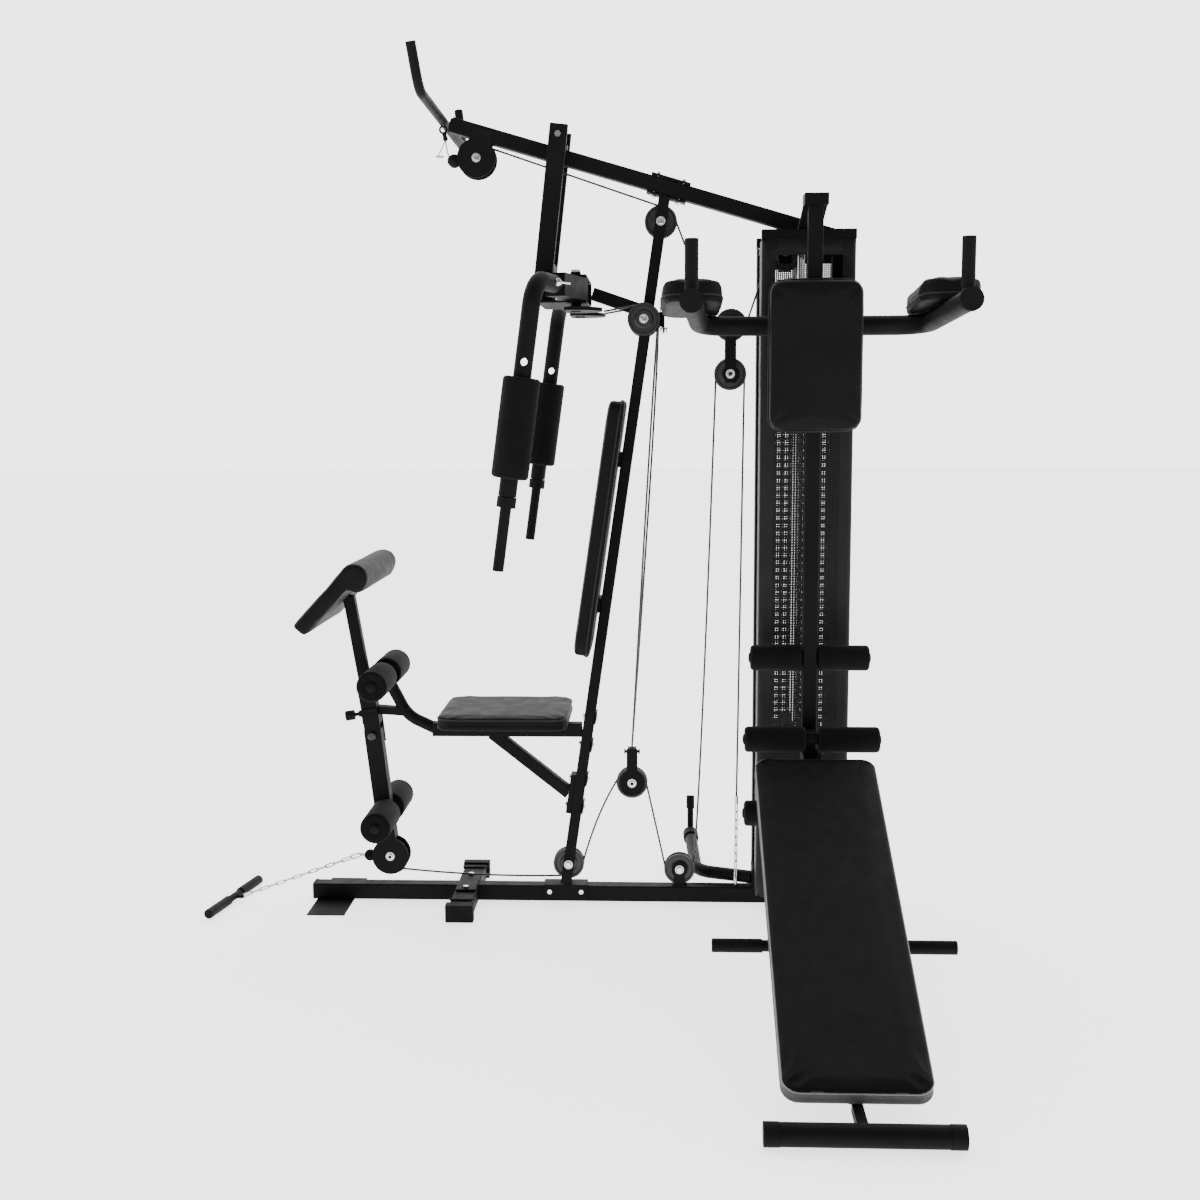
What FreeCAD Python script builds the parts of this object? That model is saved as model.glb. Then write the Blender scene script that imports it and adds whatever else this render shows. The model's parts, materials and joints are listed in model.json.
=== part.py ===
import FreeCAD, Part
import math
import os
import Sketcher
from FreeCAD import Placement, Rotation, Vector

# Multi station home gym: lat pull-down beam, press and butterfly arms, seat with leg lever and
# preacher pad, weight tower with a knee-raise and dip station, and a sit-up bench.
# X runs along the base rail towards the weight tower, Y across it, Z up from the floor.
# The origin is on the floor under the foot of the main upright.

doc = FreeCAD.newDocument("home_gym")

SIZES = [
    ("rail_size", 45, "base rail, square section"),
    ("rail_start", -715, "X of the rail's free end"),
    ("rail_finish", 776, "X of the rail's end under the tower"),
    ("tube_wall", 2, "wall of the frame tubes"),
    ("tube_corner", 4, "outer corner radius of square tubes"),
    ("foot_reach", 207, "half width of the cross foot"),
    ("upright_width", 30, "main upright, seen from the side"),
    ("upright_depth", 50, "main upright, across the machine"),
    ("upright_tilt", 8.3, "lean of the main upright towards the tower, degrees"),
    ("upright_top", 1948, "Z of the main upright's top end"),
    ("beam_size", 40, "top beam, square section"),
    ("beam_tilt", 16.4, "slope of the top beam down to the tower, degrees"),
    ("beam_tip_x", -290.6, "X of the beam's centre at its free end"),
    ("beam_tip_z", 2143, "Z of the beam's centre at its free end"),
    ("beam_length", 1080, "length of the top beam"),
    ("seat_z", 494, "centre height of the seat tube"),
    ("seat_tube", 38, "seat tube, square section"),
    ("seat_width", 336, "seat cushion across the machine"),
    ("seat_length", 365, "seat cushion along the machine"),
    ("seat_thick", 42, "seat cushion thickness"),
    ("back_width", 290, "back cushion width"),
    ("back_length", 704, "back cushion length"),
    ("back_thick", 48, "back cushion thickness"),
    ("wheel_rim", 43.5, "pulley wheel outer radius"),
    ("wheel_root", 35.5, "pulley wheel radius at the bottom of its groove"),
    ("wheel_width", 24, "pulley wheel width"),
    ("bolt_radius", 5, "radius of the pulley bolts"),
    ("wheel_bore", 5.15, "bore radius of the pulley wheels"),
    ("cable_radius", 2.75, "radius of the coated steel cable"),
    ("plate_thick", 3, "pulley cheek plates"),
    ("shroud_radius", 52, "round cable guards"),
    ("tower_x", 655, "X of the tower's middle"),
    ("tower_width", 246, "weight tower along X"),
    ("tower_depth", 244, "weight tower along Y"),
    ("tower_top", 1850, "Z of the tower's top frame"),
    ("sheet_thick", 1.5, "perforated guard sheet"),
    ("stack_x", 640, "X of the weight stack's middle"),
    ("stack_width", 150, "weight plate along X"),
    ("stack_depth", 190, "weight plate along Y"),
    ("stack_plate", 25, "weight plate thickness"),
    ("stack_pitch", 26, "spacing of the weight plates"),
    ("rod_spread", 65, "guide rods, distance from the stack's middle"),
    ("rod_radius", 10, "guide rod radius"),
    ("post_x", 657, "X of the knee-raise post"),
    ("post_y", -254, "Y of the knee-raise post"),
    ("post_size", 38, "knee-raise post, square section"),
    ("dip_radius", 25, "dip bar tube radius"),
    ("dip_reach", 317, "dip grips, distance from the post along X"),
    ("dip_height", 1597, "Z of the dip bar behind the post"),
    ("vkr_width", 240, "knee-raise back pad width"),
    ("vkr_length", 380, "knee-raise back pad height"),
    ("vkr_thick", 50, "knee-raise back pad thickness"),
    ("foam_radius", 33, "tower foam rollers"),
    ("seat_foam_radius", 42, "seat and leg foam rollers"),
    ("bar_radius", 12.5, "roller bars, lat bar"),
    ("bench_width", 310, "bench cushion width"),
    ("bench_length", 1047, "bench cushion length"),
    ("bench_thick", 42, "bench cushion thickness"),
    ("bench_slope", 25.2, "bench angle below level, degrees"),
    ("bench_tube", 30, "bench frame tube, square section"),
    ("press_tilt", 6.5, "lean of the press arm, degrees"),
    ("press_width", 48, "press arm tubes, seen from the side"),
    ("press_depth", 22, "press arm tubes, across the machine"),
    ("press_spread", 70, "press arm tubes, distance from the beam's middle"),
    ("press_length", 352, "press arm, pivot bolt to lower end"),
    ("arm_reach", 450, "butterfly arms, distance from the machine's middle"),
    ("arm_radius", 22.5, "butterfly arm tube radius"),
    ("arm_pivot_x", 45, "X of the butterfly pivots"),
    ("arm_pivot_y", 118, "butterfly pivots, distance from the machine's middle"),
    ("lever_size", 48, "leg lever, square section"),
    ("lever_tilt", 6.5, "lean of the leg lever, degrees"),
    ("preacher_tilt", 9.3, "lean of the preacher post, degrees"),
    ("preacher_size", 32, "preacher post, square section"),
    ("preacher_width", 440, "preacher cushion across the machine"),
    ("lat_reach", 400, "lat bar, middle to bend"),
]

sheet = doc.addObject("Spreadsheet::Sheet", "Sizes")
for row, (alias, value, meaning) in enumerate(SIZES, start=1):
    sheet.set("A%d" % row, alias)
    sheet.set("B%d" % row, str(value))
    sheet.setAlias("B%d" % row, alias)
    sheet.set("C%d" % row, meaning)
doc.recompute()

X_AXIS = Vector(1, 0, 0)
Y_AXIS = Vector(0, 1, 0)
Z_AXIS = Vector(0, 0, 1)
NO_TURN = Rotation()
ALONG_X = Rotation(Y_AXIS, 90)
ALONG_Y = Rotation(X_AXIS, -90)
SIDES = (("right", 1), ("left", -1))     # the user sits facing -X, so the right hand is at +Y
nodes = []


def size(alias):
    """A driving dimension from the sheet."""
    return float(sheet.get(alias))


def cell(alias):
    """The same dimension as an expression."""
    return "Sizes." + alias


def bind(obj, prop, value):
    """Set a property from a number, or bind it to an expression."""
    if isinstance(value, str):
        obj.setExpression(prop, value)
    else:
        setattr(obj, prop, value)


def node(obj, label):
    """Give a finished sub-part its own label, which names its file."""
    obj.Label = label
    nodes.append(obj)
    return obj


def lean(degrees):
    """Rotation about Y: the local Z axis leans towards +X."""
    return Rotation(Y_AXIS, degrees)


def box(name, sides, centre, turn=NO_TURN):
    """Box with its middle at centre."""
    obj = doc.addObject("Part::Box", name)
    for prop, value in zip(("Length", "Width", "Height"), sides):
        bind(obj, prop, value)
    doc.recompute([obj])
    half = Vector(obj.Length.Value, obj.Width.Value, obj.Height.Value) * 0.5
    obj.Placement = Placement(Vector(*centre) - turn.multVec(half), turn)
    return obj


def rod(name, radius, length, middle, turn=ALONG_Y):
    """Round bar with its middle at the given point, along Y unless turned."""
    obj = doc.addObject("Part::Cylinder", name)
    bind(obj, "Radius", radius)
    bind(obj, "Height", length)
    doc.recompute([obj])
    offset = turn.multVec(Vector(0, 0, obj.Height.Value * 0.5))
    obj.Placement = Placement(Vector(*middle) - offset, turn)
    return obj


def cut(name, base, tool):
    obj = doc.addObject("Part::Cut", name)
    obj.Base = base
    obj.Tool = tool
    return obj


def fuse(name, shapes):
    obj = doc.addObject("Part::MultiFuse", name)
    obj.Shapes = shapes
    return obj


def group(name, shapes):
    """Separate solids kept in one node."""
    obj = doc.addObject("Part::Compound", name)
    obj.Links = shapes
    return obj


def ring(name, outer, inner, length, middle, turn=ALONG_Y):
    """Hollow round sleeve."""
    return cut(name, rod(name + "_outside", outer, length, middle, turn),
               rod(name + "_bore", inner, length + 2, middle, turn))


def origin_plane(body, role):
    return next(item for item in body.Origin.OriginFeatures if item.Role == role)


def start_sketch(body, name, role="XY_Plane"):
    sketch = body.newObject("Sketcher::SketchObject", name)
    sketch.AttachmentSupport = [(origin_plane(body, role), "")]
    sketch.MapMode = "FlatFace"
    return sketch


def draw_rectangle(sketch, name, width, depth):
    """Rectangle centred on the sketch's origin, its sides bound to expressions."""
    wide, deep = 20.0, 10.0
    corners = [Vector(-wide, -deep), Vector(wide, -deep), Vector(wide, deep), Vector(-wide, deep)]
    first = sketch.GeometryCount
    for index in range(4):
        sketch.addGeometry(Part.LineSegment(corners[index], corners[(index + 1) % 4]), False)
    for index in range(4):
        link = Sketcher.Constraint("Coincident", first + index, 2, first + (index + 1) % 4, 1)
        sketch.addConstraint(link)
    for index, kind in enumerate(("Horizontal", "Vertical", "Horizontal", "Vertical")):
        sketch.addConstraint(Sketcher.Constraint(kind, first + index))
    sketch.addConstraint(Sketcher.Constraint("Symmetric", first, 1, first + 1, 2, -1, 1))
    across = sketch.addConstraint(Sketcher.Constraint("DistanceX", first, 1, first, 2, 2 * wide))
    along = sketch.addConstraint(Sketcher.Constraint("DistanceY", first + 1, 1, first + 1, 2, 2 * deep))
    sketch.renameConstraint(across, name + "_width")
    sketch.renameConstraint(along, name + "_depth")
    sketch.setExpression("Constraints." + name + "_width", width)
    sketch.setExpression("Constraints." + name + "_depth", depth)


def long_edges(shape, half_width, half_depth):
    """Names of the straight edges at a section's outer corners."""
    found = []
    for index, edge in enumerate(shape.Edges, start=1):
        start, end = (vertex.Point for vertex in (edge.Vertexes[0], edge.Vertexes[-1]))
        upright = abs(start.x - end.x) < 1e-6 and abs(start.y - end.y) < 1e-6
        outer = abs(abs(start.x) - half_width) < 1e-3 and abs(abs(start.y) - half_depth) < 1e-3
        if upright and outer:
            found.append("Edge%d" % index)
    return found


def bar(label, width, depth, length, foot, turn, wall=None, corner="Sizes.tube_corner"):
    """Rectangular bar or tube from foot along its own Z, with rounded corners."""
    body = doc.addObject("PartDesign::Body", label)
    sketch = start_sketch(body, label + "_section")
    draw_rectangle(sketch, "outside", width, depth)
    if wall:
        draw_rectangle(sketch, "inside", "%s - 2 * %s" % (width, wall), "%s - 2 * %s" % (depth, wall))
    pad = body.newObject("PartDesign::Pad", label + "_pad")
    pad.Profile = sketch
    bind(pad, "Length", length)
    doc.recompute()
    bounds = pad.Shape.BoundBox
    rounding = body.newObject("PartDesign::Fillet", label + "_corners")
    rounding.Base = (pad, long_edges(pad.Shape, bounds.XMax, bounds.YMax))
    bind(rounding, "Radius", corner)
    sketch.Visibility = False
    body.Placement = Placement(Vector(*foot), turn)
    return body


def cushion(label, width, length, thick, corner, centre, turn):
    """Plain closed cushion: thick along its own Z, with its middle at centre."""
    body = bar(label, width, length, thick, (0, 0, 0), NO_TURN, corner=corner)
    half = Vector(0, 0, size(thick.split(".")[1]) * 0.5)
    body.Placement = Placement(Vector(*centre) - turn.multVec(half), turn)
    return body


def wheel_body(label, centre):
    """Grooved pulley wheel that turns about Y."""
    body = doc.addObject("PartDesign::Body", label)
    sketch = start_sketch(body, label + "_profile", "XZ_Plane")
    half = size("wheel_width") * 0.5
    bore, root, rim = size("wheel_bore"), size("wheel_root"), size("wheel_rim")
    lip = half - 3
    floor = 3
    profile = [(bore, -half), (root - 14, -half), (root - 10, -lip), (rim - 8, -lip), (rim - 6, -half),
               (rim, -half), (rim, -lip), (root, -floor), (root, floor), (rim, lip), (rim, half),
               (rim - 6, half), (rim - 8, lip), (root - 10, lip), (root - 14, half), (bore, half)]
    count = len(profile)
    for index in range(count):
        start = Vector(*profile[index])
        end = Vector(*profile[(index + 1) % count])
        sketch.addGeometry(Part.LineSegment(start, end), False)
    for index in range(count):
        sketch.addConstraint(Sketcher.Constraint("Coincident", index, 2, (index + 1) % count, 1))
    bound = {0: cell("wheel_bore"), 4: cell("wheel_rim") + " - 6", 5: cell("wheel_rim"), 7: cell("wheel_root"),
             8: cell("wheel_root"), 10: cell("wheel_rim"), 15: cell("wheel_bore")}
    for index, expression in bound.items():
        place = sketch.addConstraint(Sketcher.Constraint("DistanceX", -1, 1, index, 1, profile[index][0]))
        sketch.renameConstraint(place, "radius_%d" % index)
        sketch.setExpression("Constraints.radius_%d" % index, expression)
    turned = body.newObject("PartDesign::Revolution", label + "_turned")
    turned.Profile = sketch
    turned.ReferenceAxis = (sketch, ["V_Axis"])
    turned.Angle = 360
    body.Placement = Placement(Vector(*centre), Rotation(X_AXIS, 90))
    return body


def rounded_path(points, radii):
    """Straight runs joined by tangent arcs. A radius of None follows the run lengths."""
    edges = []
    last = points[0]
    for index in range(1, len(points) - 1):
        corner = points[index]
        back, ahead = points[index - 1] - corner, points[index + 1] - corner
        turn = math.pi - back.getAngle(ahead)
        reach = 0.45 * min(back.Length, ahead.Length)
        radius = radii[index - 1]
        if radius is None:
            radius = reach / math.tan(turn * 0.5)
        else:
            reach = radius * math.tan(turn * 0.5)
        back.normalize()
        ahead.normalize()
        start, end = corner + back * reach, corner + ahead * reach
        middle_way = back + ahead
        middle_way.normalize()
        middle = corner + middle_way * (radius / math.cos(turn * 0.5) - radius)
        edges.append(Part.LineSegment(last, start).toShape())
        edges.append(Part.Arc(start, middle, end).toShape())
        last = end
    edges.append(Part.LineSegment(last, points[-1]).toShape())
    return Part.Wire(edges)


def swept(wire, outer, inner=0):
    """Round bar or tube along a wire."""
    start = wire.Edges[0].valueAt(wire.Edges[0].FirstParameter)
    along = wire.Edges[0].tangentAt(wire.Edges[0].FirstParameter)
    section = Part.Face(Part.Wire([Part.Circle(start, along, outer).toShape()]))
    if inner:
        section = section.cut(Part.Face(Part.Wire([Part.Circle(start, along, inner).toShape()]))).Faces[0]
    return wire.makePipe(section)


def feature(label, shape):
    obj = doc.addObject("Part::Feature", label)
    obj.Shape = shape
    return obj


def bent_tube(label, points, radii, outer, inner=0):
    """Round tube bent along the given corner points."""
    path = rounded_path([Vector(*point) for point in points], radii)
    return feature(label, swept(path, outer, inner))


def link_chain(name, start, end, count, wire=1.8, width=11.2):
    """Welded chain: count links between two points, each turned a quarter from the last."""
    start, end = Vector(*start), Vector(*end)
    step = (end - start) * (1.0 / count)
    links = []
    for index in range(count):
        half = step.Length * 0.5 + wire + 0.1
        round_radius = width * 0.5 - wire
        straight = half - round_radius
        outline = Part.Wire([
            Part.LineSegment(Vector(-straight, -round_radius, 0), Vector(straight, -round_radius, 0)).toShape(),
            Part.Arc(Vector(straight, -round_radius, 0), Vector(half, 0, 0),
                     Vector(straight, round_radius, 0)).toShape(),
            Part.LineSegment(Vector(straight, round_radius, 0), Vector(-straight, round_radius, 0)).toShape(),
            Part.Arc(Vector(-straight, round_radius, 0), Vector(-half, 0, 0),
                     Vector(-straight, -round_radius, 0)).toShape()])
        shape = swept(outline, wire)
        quarter = Rotation(X_AXIS, 45 + 90 * (index % 2))
        along = Rotation(X_AXIS, step)
        link = feature("%s_link_%d" % (name, index + 1), shape)
        link.Placement = Placement(start + step * (index + 0.5), along.multiply(quarter))
        links.append(link)
    return links


def belt_points(stops):
    """Tangent points of a cable in the XZ plane that runs over points and wheels in turn.

    A stop is a Vector, or (centre, side) with side +1 where the cable turns clockwise as seen
    looking along +Y (X to the right, Z up), and -1 where it turns anticlockwise.
    """
    radius = size("wheel_root") + size("cable_radius") + 0.3
    circles = [(stop[0], stop[1] * radius) if isinstance(stop, tuple) else (stop, 0.0) for stop in stops]
    exits, entries = {}, {}
    for index in range(len(circles) - 1):
        (here, bend), (there, next_bend) = circles[index], circles[index + 1]
        gap = there - here
        gap.y = 0
        reach = gap.Length
        slope = math.atan2(gap.z, gap.x) + math.asin((next_bend - bend) / reach)
        left = Vector(-math.sin(slope), 0, math.cos(slope))
        exits[index] = here + left * bend
        entries[index + 1] = there + left * next_bend
    return circles, entries, exits


def cable(label, stops):
    """Coated steel cable: wheels give arcs of their own size, other corners follow the runs."""
    circles, entries, exits = belt_points(stops)
    vertices = [(exits[0], None)]
    for index in range(1, len(circles) - 1):
        if circles[index][1]:
            vertices.append((entries[index], index))
            vertices.append((exits[index], "out"))
        else:
            vertices.append((circles[index][0], None))
    vertices.append((entries[len(circles) - 1], None))
    edges = []
    last = vertices[0][0]
    position = 1
    while position < len(vertices) - 1:
        point, kind = vertices[position]
        if kind is None:
            back, ahead = vertices[position - 1][0] - point, vertices[position + 1][0] - point
            turn = math.pi - back.getAngle(ahead)
            reach = 0.45 * min(back.Length, ahead.Length)
            bend = reach / math.tan(turn * 0.5)
            back.normalize()
            ahead.normalize()
            start, end = point + back * reach, point + ahead * reach
            bisector = back + ahead
            bisector.normalize()
            middle = point + bisector * (bend / math.cos(turn * 0.5) - bend)
            print("%s bend radius %.0f mm" % (label, bend))
            edges.append(Part.LineSegment(last, start).toShape())
            position += 1
        else:
            centre, bend = circles[kind]
            start, end = point, vertices[position + 1][0]
            first = math.atan2(start.z - centre.z, start.x - centre.x)
            final = math.atan2(end.z - centre.z, end.x - centre.x)
            if bend > 0:
                halfway = first - ((first - final) % (2 * math.pi)) * 0.5
            else:
                halfway = first + ((final - first) % (2 * math.pi)) * 0.5
            middle = centre + Vector(math.cos(halfway), 0, math.sin(halfway)) * abs(bend)
            edges.append(Part.LineSegment(last, start).toShape())
            position += 2
        edges.append(Part.Arc(start, middle, end).toShape())
        last = end
    edges.append(Part.LineSegment(last, vertices[-1][0]).toShape())
    wire = Part.Wire(edges)
    shape = swept(wire, size("cable_radius"))
    expected = math.pi * size("cable_radius") ** 2 * wire.Length
    print("%s length %.0f mm, volume ratio %.4f" % (label, wire.Length, shape.Volume / expected))
    return shape


def upright_x(height):
    """X of the main upright's middle at a height."""
    return (height - 45) * math.tan(math.radians(size("upright_tilt")))


def beam_z(x):
    """Z of the beam's middle at X."""
    return size("beam_tip_z") - (x - size("beam_tip_x")) * math.tan(math.radians(size("beam_tilt")))


# ---------------------------------------------------------------- where the moving parts turn
LAT_WHEEL = (-225, 0, 2054.5)
TOP_WHEEL = (upright_x(1885), 0, 1885)
TOWER_WHEEL = (601.5, 0, 1795)
MID_WHEELS = (223, 48, 1626)
BASE_WHEEL = (upright_x(108), 0, 108)
SIDE_WHEEL = (323, 0, 94)
LEG_WHEEL = (-499, 0, 127)
BLOCK_TOP = (458, 0, 1611)
BLOCK_LOW = (457, 0, 1480)
CHEST_WHEEL = (189, 0, 343)
PRESS_PIVOT = (-2, 0, 2104)
LEVER_PIVOT = (-541, 0, 478)
BENCH_PIVOT = (657, -342.3, 482.7)

STABILISER_ROD = Vector(362, 434, 126)
STABILISER_TURN = Rotation(Z_AXIS, Vector(0, 18, 94))
SADDLE = Vector(289, 0, beam_z(289))

beam_lean = lean(90 + size("beam_tilt"))
upright_lean = lean(size("upright_tilt"))
press_lean = lean(size("press_tilt"))
lever_lean = lean(-size("lever_tilt"))
post_lean = lean(-size("preacher_tilt"))


# ---------------------------------------------------------------- base
def make_base():
    half = size("rail_size") * 0.5
    node(bar("base_rail", cell("rail_size"), cell("rail_size"), "Sizes.rail_finish - Sizes.rail_start",
             (size("rail_start"), 0, half), ALONG_X, cell("tube_wall")), "base_rail")

    stubs = []
    for side in (-1, 1):
        middle = side * (half + size("foot_reach") - 27) * 0.5
        length = "Sizes.foot_reach - 27 - Sizes.rail_size / 2"
        stubs.append(box("foot_stub", (60, length, 43), (-279, middle, 21.5)))
    node(group("cross_foot_group", stubs), "cross_foot")

    run = [(528, 9, 66), (372, 66, 66), (362, 420, 72)]
    handle = rod("stabiliser_rod", 9.5, 118, STABILISER_ROD, STABILISER_TURN)
    node(fuse("stabiliser_fuse", [bent_tube("stabiliser_tube", run, [70], 18), handle]), "rear_stabiliser")

    slots = [box("base_slot", (70, 29, 112), BASE_WHEEL, upright_lean),
             box("top_slot", (70, 29, 112), TOP_WHEEL, upright_lean)]
    foot_z = 52
    tube = bar("upright_tube", cell("upright_width"), cell("upright_depth"),
               "(Sizes.upright_top - %d) / cos(Sizes.upright_tilt * 1 deg)" % foot_z,
               (upright_x(foot_z), 0, foot_z), upright_lean, cell("tube_wall"))
    slots += [rod("upright_bore", 3.7, 80, middle, lean(90 + size("upright_tilt")))
              for middle, reach in upright_points()]
    node(cut("upright_cut", tube, fuse("upright_slots", slots)), "main_upright")

    tip = (size("beam_tip_x"), 0, size("beam_tip_z"))
    beam = bar("beam_tube", cell("beam_size"), cell("beam_size"), cell("beam_length"), tip, beam_lean,
               cell("tube_wall"))
    bores = [rod("beam_bore", 4.2, 90, middle, lean(size("beam_tilt"))) for middle in saddle_points()]
    node(cut("beam_cut", beam, fuse("beam_bores", bores)), "top_beam")


def make_end_caps():
    reach = size("foot_reach")
    parts = [box("rail_plug", (9, 44, 44), (size("rail_start") - 4.7, 0, 23))]
    for side in (-1, 1):
        parts.append(box("foot_cap", (76, 30, 48), (-279, side * (reach - 11.8), 24)))
        parts.append(box("foot_band", (70, 12, 4), (-279, side * (reach - 60), 45.2)))
    parts.append(rod("beam_plug", 19, 6, (size("beam_tip_x") - 3.2, 0, size("beam_tip_z") + 0.9), beam_lean))
    parts.append(ring("stabiliser_sleeve", 23, 18, 48, (362.6, 396, 71.6),
                      Rotation(Z_AXIS, Vector(-10, 360, 6))))
    parts.append(ring("stabiliser_tip", 12.5, 9.5, 40, STABILISER_ROD + STABILISER_TURN.multVec(Z_AXIS) * 42,
                      STABILISER_TURN))
    node(group("end_caps_group", parts), "end_caps")


def make_brackets():
    parts = []
    for side in (-1, 1):
        parts.append(box("foot_plate", (105, 140, 3), (-657, side * 93, 1.5)))
        parts.append(box("shoe_cheek", (124, 4, 46), (0, side * 24.7, 26.5)))
    parts.append(box("foot_strap", (56, 150, 4), (-279, 0, 47.2)))
    parts.append(box("shoe_top", (124, 54, 4), (0, 0, 47.3)))
    for height in (24.6, -24.6):
        middle = SADDLE + lean(size("beam_tilt")).multVec(Vector(0, 0, height))
        parts.append(box("saddle_plate", (108, 46, 5), middle, lean(size("beam_tilt"))))
    parts.append(box("brace_shoe", (14, 44, 112), (upright_x(312) - 22.2, 0, 312), upright_lean))
    for height in (529, 450, 352, 272):
        parts.append(box("seat_plate", (4, 62, 30), (upright_x(height) + 17.4, 0, height), upright_lean))
    for height in (1250, 850):
        parts.append(box("back_plate", (6, 90, 40), (upright_x(height) - 18.4, 0, height), upright_lean))
    parts.append(box("mid_plate", (5, 140, 66), (276.5, 0, 1626)))
    parts.append(box("mid_spacer", (28, 46, 40), (260.5, 0, 1626)))
    parts.append(box("post_cap", (60, 60, 28), (size("post_x"), -254, 1905.4)))
    parts.append(box("post_strap", (60, 176, 8), (size("post_x"), -180, 1876.5), Rotation(X_AXIS, -16)))
    parts.append(box("stabiliser_plate", (5, 70, 56), (529.5, 0, 78)))
    parts.append(box("side_wheel_foot", (40, 44, 4), (323, 0, 47.2)))
    for side in (-1, 1):
        parts.append(box("bench_ear", (6, 92, 44), (size("post_x") + side * 20, -319.5, 482.7)))
        parts.append(box("pad_plate", (50, 120, 5), (-164 + side * 110, 0, 516)))
    for height in (545, 350):
        parts.append(box("roller_arm", (30, 62, 26), (size("post_x"), -304.5, height)))
    for height in (1440, 1600):
        parts.append(box("vkr_plate", (110, 6, 40), (size("post_x"), -276.2, height)))
    pivot = cut("pivot_sleeve", rod("sleeve_outside", 13, 100, PRESS_PIVOT),
                rod("sleeve_bore", 5.2, 110, PRESS_PIVOT))
    parts.append(pivot)
    parts.append(box("sleeve_foot", (30, 36, 11), (3.5, 0, 2085.5), lean(size("beam_tilt"))))
    parts += pulley_brackets()
    parts += roller_bars()
    parts.append(press_stop())
    node(fuse("brackets_fuse", parts), "frame_brackets")


def pulley_brackets():
    thick = size("plate_thick")
    parts = []
    for side in (-1, 1):
        guard = rod("lat_guard", cell("shroud_radius"), thick, (LAT_WHEEL[0], side * 21.7, LAT_WHEEL[2]))
        hanger = box("lat_hanger", (60, thick, 50), (LAT_WHEEL[0] + 14, side * 21.7, LAT_WHEEL[2] + 52),
                     lean(size("beam_tilt")))
        parts.append(fuse("lat_cheek", [guard, hanger]))
        disc = rod("side_disc", 22, thick, (SIDE_WHEEL[0], side * 17, SIDE_WHEEL[2]))
        leg = box("side_leg", (30, thick, 48), (SIDE_WHEEL[0], side * 17, SIDE_WHEEL[2] - 22))
        parts.append(fuse("side_cheek", [disc, leg]))
        parts.append(box("tower_cheek", (34, thick, 86), (TOWER_WHEEL[0], side * 17, 1815)))
    return parts


def roller_bars():
    """Bars that carry the foam rollers of the knee-raise post."""
    bars = [rod("post_roller_bar", cell("bar_radius"), 310, (size("post_x"), size("post_y"), 742), ALONG_X)]
    bars += [rod("cross_roller_bar", cell("bar_radius"), 348, (size("post_x"), -344, height), ALONG_X)
             for height in (545, 350)]
    return bars


def press_stop():
    """Strut on the main upright that the press arm rests against."""
    foot = Vector(upright_x(1650) - 17.4, 0, 1651)
    tip = Vector(84, 0, 1697)
    return bar("press_stop", "34", "34", (tip - foot).Length, foot, Rotation(Z_AXIS, tip - foot), "2")


def bolt(name, middle, reach, turn=ALONG_Y, radius=5.0):
    """Hex bolt with its nut: shank of length 2 * reach and a head at each end."""
    shank = rod(name + "_shank", radius, 2 * reach, middle, turn)
    along = turn.multVec(Z_AXIS)
    heads = []
    for side in (-1, 1):
        head = doc.addObject("Part::Prism", name + "_head")
        head.Polygon = 6
        head.Circumradius = radius * 1.75
        head.Height = radius * 1.1
        low = reach if side > 0 else -reach - radius * 1.1
        head.Placement = Placement(Vector(*middle) + along * low, turn)
        heads.append(head)
    return fuse(name, [shank] + heads)


def saddle_points():
    """Middles of the bolts that clamp the beam to the main upright."""
    slope = lean(size("beam_tilt"))
    return [SADDLE + slope.multVec(Vector(along, side, 0)) for along in (-35, 35) for side in (-11, 11)]


def upright_points():
    """Middles and half lengths of the bolts through the main upright, seat rows first, brace rows last."""
    found = []
    for height, offset, reach in ((529, 2, 18), (450, 2, 18), (352, -4.8, 25), (272, -4.8, 25)):
        found += [(Vector(upright_x(height) + offset, side, height), reach) for side in (-9, 9)]
    return found


def make_bolts():
    across = [("lat_bolt", LAT_WHEEL, 24), ("top_bolt", TOP_WHEEL, 25.6), ("base_bolt", BASE_WHEEL, 25.6),
              ("tower_bolt", TOWER_WHEEL, 19), ("side_bolt", SIDE_WHEEL, 19),
              ("mid_bolt", (MID_WHEELS[0], 0, MID_WHEELS[2]), 63)]
    parts = [bolt(name, middle, reach) for name, middle, reach in across]
    parts += [bolt("saddle_bolt", middle, 28, lean(size("beam_tilt")), 4) for middle in saddle_points()]
    parts += [bolt("seat_bolt", middle, reach, lean(90 + size("upright_tilt")), 3.5)
              for middle, reach in upright_points()]
    for side in (-58, 58):
        parts.append(bolt("foot_bolt", (-279, side, 36), 13.4, NO_TURN, 5))
    for height in (1600, 1652):
        for side in (-46, 46):
            parts.append(bolt("bracket_bolt", (276.5, side, height), 6, ALONG_X, 4))
    for side in (-28, 28):
        parts.append(bolt("shoe_bolt", (side * 1.6, 0, 30), 27.4, ALONG_Y, 4))
    parts.append(bolt("lever_pivot_bolt", LEVER_PIVOT, 29.4, radius=6))
    parts.append(bolt("press_pivot_bolt", PRESS_PIVOT, 82, radius=5.1))
    parts.append(bolt("bench_pivot_bolt", BENCH_PIVOT, 23.4, ALONG_X, 6))
    node(group("frame_bolts_group", parts), "frame_bolts")


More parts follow.
